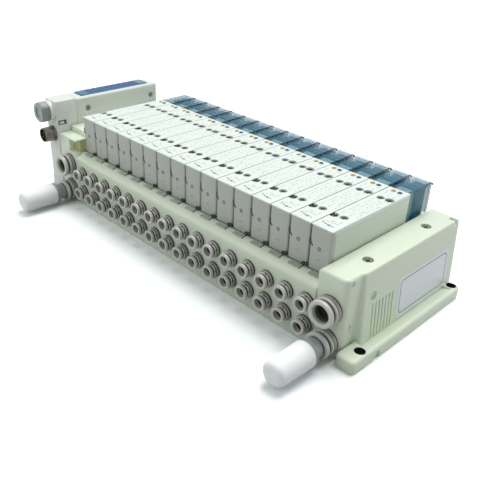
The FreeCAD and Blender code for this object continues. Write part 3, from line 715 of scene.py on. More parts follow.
def inset(outline: Sequence[Flat], amount: float) -> list[Flat]:
    """Moves every side of a counter-clockwise outline inwards.

    Args:
        outline: Corners of the outline.
        amount: Distance of the move.

    Returns:
        The corners of the smaller outline.
    """
    count = len(outline)
    moved = []
    for k in range(count):
        before, here, after = (Vector(outline[(k + step) % count]) for step in (-1, 0, 1))
        into, out = (here - before).normalized(), (after - here).normalized()
        inward = Vector((-into.y - out.y, into.x + out.x)).normalized()
        reach = amount / max(inward.dot(Vector((-into.y, into.x))), 0.3)
        moved.append((here.x + inward.x * reach, here.y + inward.y * reach))
    return moved


def rounded_box(low: Flat, high: Flat, radius: float, steps: int = 5) -> list[Flat]:
    """Gives the outline of a rectangle with rounded corners.

    Args:
        low: Lowest corner.
        high: Highest corner.
        radius: Radius of the corners.
        steps: Number of stretches in each corner.

    Returns:
        The points of the outline in order.
    """
    left, right = low[0] + radius, high[0] - radius
    bottom, top = low[1] + radius, high[1] - radius
    return (arc((right, bottom), radius, -90, 0, steps) + arc((right, top), radius, 0, 90, steps)
            + arc((left, top), radius, 90, 180, steps)
            + arc((left, bottom), radius, 180, 270, steps))


@dataclass
class Row:
    """Layout of the stations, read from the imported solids.

    Attributes:
        shift: Place of the row's own frame in the part's frame.
        pitch: Spacing of the stations.
        stations: Number of stations.
        shelf: Height of the shelf.
        top: Height of the top plates.
    """

    shift: Vector
    pitch: float
    stations: int
    shelf: float
    top: float

    @classmethod
    def from_frame(cls, stations: int = 16) -> Row:
        """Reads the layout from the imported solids.

        Args:
            stations: Number of valves.

        Returns:
            The layout in millimetres.
        """
        base_low, base_high = (Vector(corner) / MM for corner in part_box("manifold_base"))
        cover_low = Vector(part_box("valve_front_covers")[0]) / MM
        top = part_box("valve_top_plates")[1][2] / MM
        return cls(Vector((base_low.x, cover_low.y, 0.0)), (base_high.x - base_low.x) / stations,
                   stations, base_high.z, top)

    @property
    def length(self) -> float:
        """Length of the whole row of valves."""
        return self.pitch * self.stations

    def box(self, node: str) -> tuple[Vector, Vector]:
        """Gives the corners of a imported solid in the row's own frame.

        Args:
            node: Name of the solid.

        Returns:
            Lowest and highest corner in millimetres.
        """
        low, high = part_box(node)
        return Vector(low) / MM - self.shift, Vector(high) / MM - self.shift

    def middle(self, node: str) -> Vector:
        """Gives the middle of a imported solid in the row's own frame."""
        low, high = self.box(node)
        return (low + high) / 2

    def seat(self, node: str) -> tuple[Point, float]:
        """Gives where a turned part that points forward starts, and how far it reaches.

        Args:
            node: Name of the solid.

        Returns:
            The middle of its rear face and its depth from rear to front.
        """
        low, high = self.box(node)
        return ((low.x + high.x) / 2, high.y, (low.z + high.z) / 2), high.y - low.y


class Shop:
    """Publishes finished pieces into the scene."""

    def __init__(self, row: Row, nodes: dict[str, bpy.types.Object]) -> None:
        """Keeps what every piece needs.

        Args:
            row: Layout of the stations.
            nodes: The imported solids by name.
        """
        self.row = row
        self.nodes = nodes
        self.count = 0

    def publish(self, name: str, draft: Draft, finishes: Sequence[Finish],
                stands_for: Iterable[str] = (), body: str = ROOT_BODY, stations: int = 1,
                row_drop: float = 0.0) -> bpy.types.Object:
        """Puts a piece into the scene on its body.

        Args:
            name: Name of the piece.
            draft: The finished mesh in millimetres.
            finishes: The finishes in the order of the draft's tags.
            stands_for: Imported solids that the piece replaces.
            body: Body that the piece rides on.
            stations: Number of stations that have the piece.
            row_drop: Fall to a second row of the piece, or 0 where there is one row.

        Returns:
            The new object.
        """
        mesh = draft.mesh(name, self.row.shift)
        for finish in finishes:
            mesh.materials.append(finish.material())
        piece = add_object(name, mesh)
        for count, step in ((stations, (self.row.pitch, 0.0, 0.0)),
                            (2 if row_drop else 1, (0.0, 0.0, -row_drop))):
            if count > 1:
                array = piece.modifiers.new("row", "ARRAY")
                array.use_relative_offset = False
                array.use_constant_offset = True
                array.constant_offset_displace = Vector(step) * MM
                array.count = count
        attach(piece, body)
        for node in stands_for:
            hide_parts(node)
        self.count += 1
        LOG.info("piece %s: %d faces", name, len(mesh.polygons))
        return piece

    def copy_of(self, node: str) -> Draft:
        """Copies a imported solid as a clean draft.

        Args:
            node: Name of the solid.

        Returns:
            A draft with welded corners and whole flat faces.
        """
        draft = Draft()
        draft.bm.from_mesh(self.nodes[node].data)
        draft.bm.transform(Matrix.Translation(-self.row.shift) @ Matrix.Scale(1 / MM, 4))
        bmesh.ops.remove_doubles(draft.bm, verts=draft.bm.verts, dist=WELD_DISTANCE)
        bmesh.ops.dissolve_limit(draft.bm, angle_limit=math.radians(FLAT_ANGLE),
                                 verts=draft.bm.verts, edges=draft.bm.edges)
        for face in draft.bm.faces:
            face.material_index = 0
        return draft

    def dress(self, node: str, finish: Finish) -> None:
        """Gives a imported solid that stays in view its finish.

        Args:
            node: Name of the solid.
            finish: Its finish.
        """
        for holder in self.nodes[node].material_slots:
            holder.material = finish.material()
        LOG.info("solid %s dressed", node)


@dataclass
class ManifoldBase:
    """The moulded rail under all the valves.

    Attributes:
        shelf_flat: Flat shelf in front of the valves.
        shelf_drop: Fall of the shelf to its front edge.
        edge_radius: Rounding of the front edge.
        edge_lift: How much the rounding stands over the sloping shelf's end.
        comb_teeth: Number of short ribs before each valve.
        comb_start: Left side of the first rib.
        comb_pitch: Spacing of the ribs.
        comb_width: Width of a rib.
    """

    shelf_flat: float = 2.5
    shelf_drop: float = 2.5
    edge_radius: float = 3.0
    edge_lift: float = 0.6
    comb_teeth: int = 7
    comb_start: float = 5.4
    comb_pitch: float = 1.2
    comb_width: float = 0.55

    def build(self, shop: Shop) -> None:
        """Builds the rail and the small ribs on its shelf."""
        row = shop.row
        low, high = row.box("manifold_base")
        front, rear = low.y, high.y
        lip = row.shelf - self.shelf_drop
        slope = math.degrees(math.atan2(self.shelf_drop, -front - self.shelf_flat))
        inner = (front + self.edge_radius, lip - self.edge_radius + self.edge_lift)
        outline = [(front, 0.0), (rear, 0.0), (rear, row.shelf), (-self.shelf_flat, row.shelf)]
        outline += arc(inner, self.edge_radius, 90 + slope, 180, 6)
        rail = Draft().prism(outline, Axis.X, 0.0, row.length).soften(0.5)
        shop.publish("base_rail", rail, [Finishes.BASE], ["manifold_base"])
        self._combs(shop)

    def _combs(self, shop: Shop) -> None:
        """Builds the dark slit, short ribs and looped clip in front of each valve; the dark slit
        and the dark ground between the ribs are painted shade.
        """
        shelf = shop.row.shelf
        # Dark strip at the foot of each valve: painted shade where the valve meets the shelf.
        marks = Draft().box((0.6, -0.5, shelf - 0.05), (15.4, 0.9, shelf + 0.35), 1)
        # Dark ground between the ribs, falling with the shelf: painted shade in front of the
        # valves.
        gap = [(-0.4, shelf - 0.6), (-0.4, shelf + 0.1), (-self.shelf_flat, shelf + 0.1),
               (-4.4, shelf - 0.3), (-4.4, shelf - 0.9)]
        marks.prism(gap, Axis.X, 4.6, 14.2, 2)
        for tooth in range(self.comb_teeth):
            left = self.comb_start + tooth * self.comb_pitch
            rib = [(-0.4, shelf - 0.6), (-0.4, shelf + 0.75), (-self.shelf_flat, shelf + 0.6),
                   (-4.8, shelf - 0.2), (-4.8, shelf - 0.9)]
            marks.prism(rib, Axis.X, left, left + self.comb_width)
        shop.publish("shelf_combs", marks.soften(0.1, 1),
                     [Finishes.BASE, Finishes.DARK_MOULDING_AND_SHADE, Finishes.COMB_GAP_SHADE],
                     stations=shop.row.stations)
        clip = Draft()
        for across, rise in ((13.5, 1.6), (15.5, 1.9)):
            ring = arc((across, shelf + rise), 1.25, -120, 180, 12)
            core = arc((across, shelf + rise), 0.65, 180, -120, 12)
            clip.prism(ring + core, Axis.Y, -0.95, 0.05)
        clip.box((12.1, -0.7, shelf), (12.7, 0.05, shelf + 1.8))
        shop.publish("valve_clips", clip.soften(0.1, 1), [Finishes.DARK_MOULDING_AND_SHADE],
                     stations=shop.row.stations)


@dataclass
class ValveRow:
    """Valve bodies with their front covers, top plates, screws and print.

    Attributes:
        gap: Gap between neighbouring valves.
        screw_places: Places of the two small screws of a valve.
        well_places: Places of the two larger wells, which cut the side of the plate.
        large_places: Places of the screws in those wells.
        screw_well: Radius of the well of a small screw.
        side_well: Radius of a larger well.
        button_hole: Radius of the holes of the buttons.
        small_depth: Depth of the well of a small screw.
        through: Depth of a cut that goes through the plate.
        corner: Rounding of the front corners of the bodies.
        lip: Thickness of the plate over the front cover.
        cover_depth: How far that lip reaches back.
        cover_set: How far the front covers stand in from the sides.
        plate_set: How far the top plates stand in from the sides.
        print_rise: How far the print stands over the plate.
        rules: Place across, start and end of each broken rule of the print.
        patches: Place across and along, width, length and finish of each printed field.
    """

    gap: float = 0.5
    screw_places: tuple[Flat, Flat] = ((8.5, 19.5), (6.2, 59.5))
    well_places: tuple[Flat, Flat] = ((2.0, 18.3), (12.3, 60.3))
    large_places: tuple[Flat, Flat] = ((2.9, 18.5), (12.3, 60.3))
    screw_well: float = 2.7
    side_well: float = 3.0
    button_hole: float = 1.75
    small_depth: float = 2.0
    through: float = 6.0
    corner: float = 2.4
    lip: float = 0.8
    cover_depth: float = 2.4
    cover_set: float = 0.15
    plate_set: float = 0.1
    print_rise: float = 0.015
    rules: tuple[Point, ...] = (
        (3.6, 24.0, 55.0), (6.0, 27.0, 50.0), (8.6, 24.0, 53.0), (11.2, 30.0, 56.0),
        (13.4, 25.0, 47.0), (3.4, 63.5, 71.0), (7.6, 64.0, 71.5), (11.6, 64.5, 71.0))
    patches: tuple[tuple[float, float, float, float, int], ...] = (
        (2.6, 5.6, 1.7, 1.9, 0), (5.0, 5.0, 1.5, 1.3, 1), (7.2, 4.2, 2.6, 1.9, 1),
        (10.6, 4.6, 1.3, 1.0, 1), (3.6, 8.6, 2.6, 0.4, 2), (7.2, 8.2, 0.4, 2.8, 2),
        (8.6, 9.4, 3.8, 0.4, 2), (11.4, 11.2, 0.4, 2.6, 2), (5.0, 11.4, 3.4, 0.4, 2))

    def build(self, shop: Shop) -> None:
        """Builds one station of each kind and repeats it along the row."""
        self._bodies(shop)
        self._front_covers(shop)
        self._top_plates(shop)
        self._screws(shop)
        self._print(shop)
        self._gap_shade_strips(shop)
        shop.dress("valve_gaskets", Finishes.SEAL_AND_GAP_SHADE)

    def _sides(self, shop: Shop) -> tuple[float, float]:
        """Gives the left and right side of the first valve."""
        return self.gap / 2, shop.row.pitch - self.gap / 2

    def _bodies(self, shop: Shop) -> None:
        """Builds the cream bodies with rounded front corners."""
        left, right = self._sides(shop)
        low, high = shop.row.box("valve_bodies")
        radius = self.corner
        outline = [(right, high.y), (left, high.y)]
        outline += arc((left + radius, low.y + radius), radius, 180, 270, 6)
        outline += arc((right - radius, low.y + radius), radius, 270, 360, 6)
        block = Draft().prism(outline, Axis.Z, low.z, high.z).soften(0.35)
        shop.publish("valve_blocks", block, [Finishes.VALVE_SIDE],
                     ["valve_bodies"], stations=shop.row.stations)

    def _front_covers(self, shop: Shop) -> None:
        """Builds the grey covers with their moulded marks, drawn darker as painted shade."""
        left, right = self._sides(shop)
        left, right = left + self.cover_set, right - self.cover_set
        low, high = shop.row.box("valve_front_covers")
        outline = rounded_box((left, low.y), (right, high.y + 1.4), 1.3, 5)
        cover = Draft().prism(outline, Axis.Z, low.z, high.z)
        cover.carve(Draft().box((left - 1, high.y, low.z - 1),
                                (right + 1, high.y + 3, high.z + 1)))
        cover.soften(0.3)
        # The moulded ring and line take a darker colour: painted shade of the raised marks.
        cover.lathe([(0.6, 0.0), (0.6, 0.14), (1.3, 0.14), (1.3, 0.0)], (7.6, 0.03, 59.4),
                    FORWARD, 20, (1, 1, 1))
        cover.box((6.2, -0.05, 52.0), (9.4, 0.05, 52.25), 1)
        shop.publish("front_covers", cover, [Finishes.FRONT_COVER, Finishes.MOULD_MARK_SHADE],
                     ["valve_front_covers"], stations=shop.row.stations)
        tab = Draft().prism([(0.3, 60.6), (1.0, 60.6), (2.5, 59.3), (2.9, 60.2), (1.5, 61.6),
                             (1.0, 64.0), (0.3, 64.4)], Axis.Y, -0.1, 1.5)
        shop.publish("cover_tabs", tab, [Finishes.DARK_MOULDING_AND_SHADE],
                     stations=shop.row.stations)

    def _top_plates(self, shop: Shop) -> None:
        """Builds the white plates with wells for screws and holes for buttons."""
        left, right = self._sides(shop)
        left, right = left + self.plate_set, right - self.plate_set
        low, high = shop.row.box("valve_top_plates")
        ledge, step = high.z - self.lip, low.y + self.cover_depth
        thin = Draft().prism([(low.y, ledge), (low.y, high.z), (high.y, high.z), (high.y, low.z),
                              (step, low.z), (step, ledge)], Axis.X, left, right)
        wells = Draft()
        for places, radius, depth in ((self.screw_places, self.screw_well, self.small_depth),
                                      (self.well_places, self.side_well, self.through)):
            for place in places:
                wells.bar(radius, -depth, 1.0, (*place, high.z))
        for node in ("override_a_01", "override_b_01"):
            middle = shop.row.middle(node)
            wells.bar(self.button_hole, -self.through, 1.0, (middle.x, middle.y, high.z))
        shop.publish("top_plates", thin.carve(wells).soften(0.22, 2), [Finishes.TOP_PLATE],
                     ["valve_top_plates"], stations=shop.row.stations)

    def _screws(self, shop: Shop) -> None:
        """Builds the small screws and the larger ones in the straddling wells."""
        top = shop.row.top
        for name, places, profile, sunk, cut in (
                ("plate_screws", self.screw_places,
                 [(0, -0.35), (1.9, -0.45), (2.35, -0.8), (2.35, -1.9), (0, -1.9)],
                 0.1, (3.4, 1.0, 1.5)),
                ("hold_down_screws", self.large_places,
                 [(0, -0.5), (2.0, -0.6), (2.5, -1.0), (2.5, -2.5), (0, -2.5)],
                 0.3, (3.9, 1.1, 1.6))):
            heads = Draft()
            for place in places:
                heads.lathe(profile, (*place, top), UP, 24)
            for place in places:
                heads.cross((*place, top - sunk), *cut)
            shop.publish(name, heads, [Finishes.STEEL],
                         stations=shop.row.stations)

    def _gap_shade_strips(self, shop: Shop) -> None:
        """Builds thin dark strips in the gaps between neighbouring valves: painted shade in the
        gaps.
        """
        low, high = shop.row.box("valve_bodies")
        seam = shop.row.pitch
        half = self.gap / 2 - 0.03
        shade_strip = Draft().box((seam - half, 1.2, low.z + 1.0),
                           (seam + half, high.y - 0.6, shop.row.top - 0.45))
        shop.publish("gap_shade_strips", shade_strip, [Finishes.SEAL_AND_GAP_SHADE],
                     stations=shop.row.stations - 1)

    def _print(self, shop: Shop) -> None:
        """Builds plain broken rules and fields in place of the print on each plate."""
        low, high = shop.row.top - 0.01, shop.row.top + self.print_rise
        rules = Draft()
        draw = random.Random(7)
        for across, place, end in self.rules:
            while place < end:
                dash = draw.uniform(0.5, 3.4)
                left = across + draw.uniform(-0.3, 0.3)
                rules.box((left, place, low),
                          (left + draw.uniform(0.25, 0.6), place + dash, high))
                place += dash + draw.uniform(0.4, 2.6)
        for across, along, wide, long, tag in self.patches:
            rules.box((across, along, low), (across + wide, along + long, high), tag)
        shop.publish("plate_print", rules,
                     [Finishes.LABEL_GREY, Finishes.LABEL_BLUE, Finishes.LABEL_ROSE],
                     stations=shop.row.stations)


@dataclass
class Buttons:
    """The override buttons, each riding on its own body.

    Attributes:
        radius: Radius of a button.
        slot_width: Width of the screwdriver slot.
        slot_depth: Depth of the slot.
    """

    radius: float = 1.46
    slot_width: float = 0.55
    slot_depth: float = 0.45

    def build(self, shop: Shop) -> None:
        """Builds both buttons of every valve."""
        for station in range(1, shop.row.stations + 1):
            for side, finish in (("a", Finishes.ORANGE), ("b", Finishes.BLUE)):
                node = f"override_{side}_{station:02d}"
                low, high = shop.row.box(node)
                x, y, _ = shop.row.middle(node)
                head = Draft().lathe(
                    [(0, low.z), (self.radius, low.z), (self.radius, high.z - 0.3),
                     (self.radius - 0.1, high.z - 0.09), (self.radius - 0.35, high.z),
                     (0, high.z)], (x, y, 0.0), UP, 24)
                head.carve(Draft().box(
                    (x - 1.0, y - self.slot_width / 2, high.z - self.slot_depth),
                    (x + 1.0, y + self.slot_width / 2, high.z + 1)))
                shop.publish(f"knob_{side}_{station:02d}", head, [finish],
                             [node], body=f"button_{side}_{station:02d}")


@dataclass
class PilotRow:
    """Pilot units under their clear blue covers.

    Attributes:
        head_long: Length of the pale front part of a pilot.
        coil_gap: Room between the coil and the rear wall of its cover.
        wall: Thickness of a cover.
        dark_part: Height of the dark foot of the coil, which is painted shade at the bottom of the
            cover.
        coil_set: How far the coil stands in from the sides of the pilot.
        ribs: Places of the dark lines round the coil, behind the pale front part.
    """

    head_long: float = 8.2
    coil_gap: float = 2.6
    wall: float = 0.8
    dark_part: float = 9.0
    coil_set: float = 0.3
    ribs: tuple[float, ...] = (3.6, 4.6, 8.8)

    def build(self, shop: Shop) -> None:
        """Builds the pilots, covers and catches."""
        low, high = shop.row.box("pilot_units")
        inset = low.x
        right = shop.row.pitch - inset
        step = low.y + self.head_long
        front = Draft().box((inset, low.y, low.z), (right, step, high.z)).soften(0.5)
        shop.publish("pilot_heads", front, [Finishes.PILOT], ["pilot_units"],
                     stations=shop.row.stations)
        cover_low, cover_high = shop.row.box("indicator_covers")
        rear = min(high.y, cover_high.y - self.wall - self.coil_gap)
        level = low.z + self.dark_part
        inner, outer = inset + self.coil_set, right - self.coil_set
        coil = Draft().box((inner, step, level), (outer, rear, high.z - 1.4)).soften(0.6)
        # The sides of the coil take a darker, greener colour than its top: painted shade on the
        # sides.
        coil.bm.normal_update()
        for face in coil.bm.faces:
            face.material_index = 2 if abs(face.normal.x) > 0.8 else 0
        # Dark foot of the coil: painted shade at the bottom of the cover. The dark lines round the
        # coil share its colour.
        foot = Draft().box((inner - 0.1, step, low.z), (outer + 0.1, rear - 0.6, level), 1)
        foot.box((inner, rear - 1.0, high.z - 2.2),
                 (outer, cover_high.y - self.wall - 0.2, high.z - 1.5))
        for along in self.ribs:
            foot.box((inner - 0.1, step + along, level),
                     (outer + 0.1, step + along + 0.35, high.z - 1.1), 1)
        shop.publish("pilot_coils", coil.join(foot),
                     [Finishes.COIL, Finishes.COIL_FOOT_SHADE_AND_LINES, Finishes.COIL_SIDE_SHADE],
                     stations=shop.row.stations)
        self._covers(shop, cover_low, cover_high)

    def _covers(self, shop: Shop, low: Vector, high: Vector) -> None:
        """Builds the open blue shells, dark blue strips along their top edges and rear as painted
        shade, and the dark catches at their rear corners.

        Args:
            shop: Publishes the pieces.
            low: Lowest corner of the covers.
            high: Highest corner of the covers.
        """
        left, right = low.x, shop.row.pitch - low.x
        front = low.y + 0.6
        shell = Draft().box((left, front, low.z), (right, high.y, high.z)).soften(0.45, 3)
        shell.carve(Draft().box((left + self.wall, front - 1, low.z - 1),
                                (right - self.wall, high.y - self.wall, high.z - self.wall)))
        shop.publish("blue_covers", shell, [Finishes.COVER],
                     ["indicator_covers"], stations=shop.row.stations)
        edges = Draft()
        # Dark blue strips along the top edges and at the rear: painted shade of the clear covers
        # and the gaps between them.
        for start, end, bottom, top in (
                (left - 0.12, left + 0.12, 0.42, 0.18), (right - 0.12, right + 0.12, 0.42, 0.18),
                (right - 0.75, right + 0.1, 0.6, 0.12)):
            edges.box((start, front + 0.4, high.z - bottom), (end, high.y - 0.5, high.z - top))
        for place in (high.y - 0.35, high.y - 2.3):
            edges.box((right - 0.2, place, low.z + 0.5),
                      (right + 0.1, place + 0.25, high.z - 0.4))
        hook = (right + 0.5, high.z - 1.2)
        edges.prism(arc(hook, 1.0, 0, 90, 6) + arc(hook, 0.6, 90, 0, 6), Axis.Y,
                    high.y - 1.4, high.y - 0.2)
        shop.publish("cover_shade_strips_and_catches", edges, [Finishes.COVER_EDGE_SHADE_AND_HOOK],
                     stations=shop.row.stations)


@dataclass
class SmallFittings:
    """The tube fittings of the valve outlets, turned from one profile.

    Attributes:
        flange: Outer radius.
        nose: Radius of the release ring.
        bore: Radius of the tube bore.
        row_drop: Distance between the upper and the lower row.
        slots: Directions of the notches in the middle ring, in degrees.
    """

    flange: float = 5.75
    nose: float = 4.95
    bore: float = 3.05
    row_drop: float = 16.0
    slots: tuple[float, ...] = (20.0, 75.0, 150.0, 215.0, 290.0)

    def build(self, shop: Shop) -> None:
        """Builds one fitting and repeats it in two rows."""
        (x, y, z), reach = shop.row.seat("port_fittings")
        centre = (x - (shop.row.stations - 1) * shop.row.pitch / 2, y, z + self.row_drop / 2)
        ring = Draft().lathe([(4.4, 2.8), (5.1, 2.85), (5.3, 2.95), (5.3, 3.5), (5.1, 3.7),
                              (4.4, 3.75), (4.4, 2.8)], centre, FORWARD, 36, [1] * 6)
        for turn in self.slots:
            ring.carve(self._notch(centre, turn))
        profile = [
            (0.0, 0.02), (self.flange, 0.02), (self.flange, 0.5),
            (5.2, 0.55), (5.2, 0.85),
            (self.flange - 0.1, 0.9), (self.flange, 1.1), (self.flange, 1.8),
            (self.flange - 0.25, 2.1), (4.75, 2.2), (4.45, 2.3), (4.45, 4.0),
            (4.0, 4.05), (4.0, 4.75),
            (4.6, 4.8), (self.nose, 5.05), (self.nose, reach - 0.35),
            (self.nose - 0.15, reach - 0.1), (self.nose - 0.4, reach), (3.65, reach),
            (3.35, reach - 0.2), (self.bore + 0.1, reach - 0.55), (self.bore, reach - 2.6),
            (2.7, reach - 2.8), (2.7, 1.4), (0.0, 1.4),
        ]
        # Tag 3 is painted shade on the rear groove of the flange, on its front face and on the
        # neck under the notched ring; tag 4 is painted mid shade in the bore's mouth and tag 2
        # painted deep shade in the bore.
        tags = [3] * 5 + [0] * 4 + [3] * 5 + [1] * 6 + [4] * 3 + [2] * 2
        fitting = Draft().lathe(profile, centre, FORWARD, 36, tags).join(ring)
        shop.publish("outlet_fittings", fitting,
                     [Finishes.FITTING, Finishes.RELEASE_RING, Finishes.DARK_BORE,
                      Finishes.DARK_MOULDING_AND_SHADE, Finishes.BORE_MOUTH_SHADE],
                     ["port_fittings"], stations=shop.row.stations,
                     row_drop=self.row_drop)

    @staticmethod
    def _notch(centre: Point, turn: float) -> Draft:
        """Makes a cutter for one notch of the middle ring.

        Args:
            centre: Middle of the fitting at the face of the base.
            turn: Direction of the notch in degrees.

        Returns:
            The cutter.
        """
        angle = math.radians(turn)
        out, side = (math.cos(angle), math.sin(angle)), (-math.sin(angle), math.cos(angle))
        outline = [(centre[0] + out[0] * far + side[0] * wide,
                    centre[2] + out[1] * far + side[1] * wide)
                   for far, wide in ((3.5, -0.8), (6.5, -0.8), (6.5, 0.8), (3.5, 0.8))]
        return Draft().prism(outline, Axis.Y, centre[1] - 3.5, centre[1] - 2.8)


@dataclass
class LargeFittings:
    """The four supply and exhaust fittings with their sliding collars.

    Attributes:
        body: Outer radius of the fitting body.
        seat: Radius of the recess that guides the collar.
        shank: Radius of the collar inside the recess.
        collar: Radius of the collar's head.
        hole: Radius of the hole through the collar.
        head: Length of the collar's head.
    """

    body: float = 8.75
    seat: float = 7.45
    shank: float = 7.2
    collar: float = 8.65
    hole: float = 5.25
    head: float = 2.7

    def build(self, shop: Shop) -> None:
        """Builds every fitting body and collar."""
        (_, rear, _), reach = shop.row.seat("main_fittings")
        bodies = Draft()
        for name in ("supply_left", "exhaust_left", "supply_right", "exhaust_right"):
            seat, length = shop.row.seat(f"collar_{name}")
            bodies.lathe(
                [(0, 0.0), (self.body, 0.0), (self.body, 0.3), (8.3, 0.35), (8.3, 0.65),
                 (self.body - 0.1, 0.7), (self.body, 0.9), (self.body, 2.3), (8.55, 2.7),
                 (8.2, 2.8), (8.2, 3.2), (8.55, 3.3), (self.body, 3.55),
                 (self.body, reach - 0.5), (8.55, reach - 0.1), (8.3, reach),
                 (self.seat, reach), (self.seat, 1.9), (5.1, 1.9), (5.1, 0.4), (0, 0.4)],
                (seat[0], rear, seat[2]), FORWARD, 56,
                [2] * 5 + [0] * 4 + [2] * 2 + [1] * 5 + [2] * 4)
            self._collar(shop, name, seat, length)
        shop.publish("port_bodies", bodies,
                     [Finishes.FITTING, Finishes.RELEASE_RING, Finishes.DARK_BORE],
                     ["main_fittings"])

    def _collar(self, shop: Shop, name: str, seat: Point, end: float) -> None:
        """Builds one release collar.

        Args:
            shop: Publishes the piece.
            name: Name of the port.
            seat: Middle of the collar's rear face.
            end: Length of the collar.
        """
        head = end - self.head
        # Tag 1 is painted shade on the shank in the recess and deep in the hole, tag 2 painted mid
        # shade in the hole's mouth.
        ring = Draft().lathe(
            [(self.hole, 0.0), (self.shank, 0.0), (self.shank, head), (7.9, head + 0.02),
             (8.4, head + 0.2), (self.collar, head + 0.5), (self.collar, end - 0.55),
             (self.collar - 0.15, end - 0.2), (self.collar - 0.5, end), (self.hole + 1.6, end),
             (self.hole + 1.1, end - 0.2), (self.hole + 0.6, end - 0.7),
             (self.hole + 0.25, end - 1.4), (self.hole, end - 2.6), (self.hole, 0.0)],
            seat, FORWARD, 56,
            [1] * 3 + [0] * 8 + [2] * 2 + [1])
        shop.publish(f"release_collar_{name}", ring,
                     [Finishes.RELEASE_RING, Finishes.DARK_BORE, Finishes.BORE_MOUTH_SHADE],
                     [f"collar_{name}"], body=f"release_{name}")


@dataclass
class Silencers:
    """The two silencers in the lower large fittings.

    Attributes:
        stem: Radius of the plugged stem.
        shank: Radius of the grey shank.
        shank_long: Length of the grey shank in view.
        flange: Radius of the grey flange.
        flange_long: Length of the grey flange.
        barrel: Radius of the porous element at its root.
        taper: How much thinner the element is at its free end.
        dome: Radius of the rounding of the free end.
    """

    stem: float = 4.9
    shank: float = 6.35
    shank_long: float = 6.1
    flange: float = 8.45
    flange_long: float = 2.8
    barrel: float = 8.7
    taper: float = 0.5
    dome: float = 3.4

    def build(self, shop: Shop) -> None:
        """Builds the grey stem and the white element of both silencers."""
        stems, elements = Draft(), Draft()
        (_, rear, _), root = shop.row.seat("silencer_stems")
        end = rear - shop.row.box("silencer_elements")[0].y
        tip = self.barrel - self.taper
        flange = root - self.flange_long
        shank = flange - self.shank_long
        for side in ("left", "right"):
            x, _, z = shop.row.seat(f"collar_exhaust_{side}")[0]
            centre = (x, rear, z)
            stems.lathe(
                [(0, 0), (self.stem, 0), (self.stem, shank), (self.shank - 0.3, shank),
                 (self.shank, shank + 0.3), (self.shank, flange - 0.9),
                 (self.shank + 0.3, flange - 0.4), (self.flange - 0.9, flange),
                 (self.flange - 0.2, flange + 0.25), (self.flange, flange + 0.6),
                 (self.flange, flange + 1.2), (self.flange - 0.35, flange + 1.35),
                 (self.flange - 0.35, flange + 1.7), (self.flange, flange + 1.85),
                 (self.flange, root - 0.2), (self.flange - 0.2, root), (0, root)],
                centre, FORWARD, 56)
            elements.lathe(
                [(0, root), (self.barrel - 0.4, root), (self.barrel, root + 0.5)]
                + arc((tip - self.dome, end - self.dome), self.dome, 0, 90, 6) + [(0, end)],
                centre, FORWARD, 56)
        shop.publish("silencer_grey_stems", stems, [Finishes.STEM_GREY],
                     ["silencer_stems"])
        shop.publish("silencer_white_elements", elements, [Finishes.POROUS],
                     ["silencer_elements"])


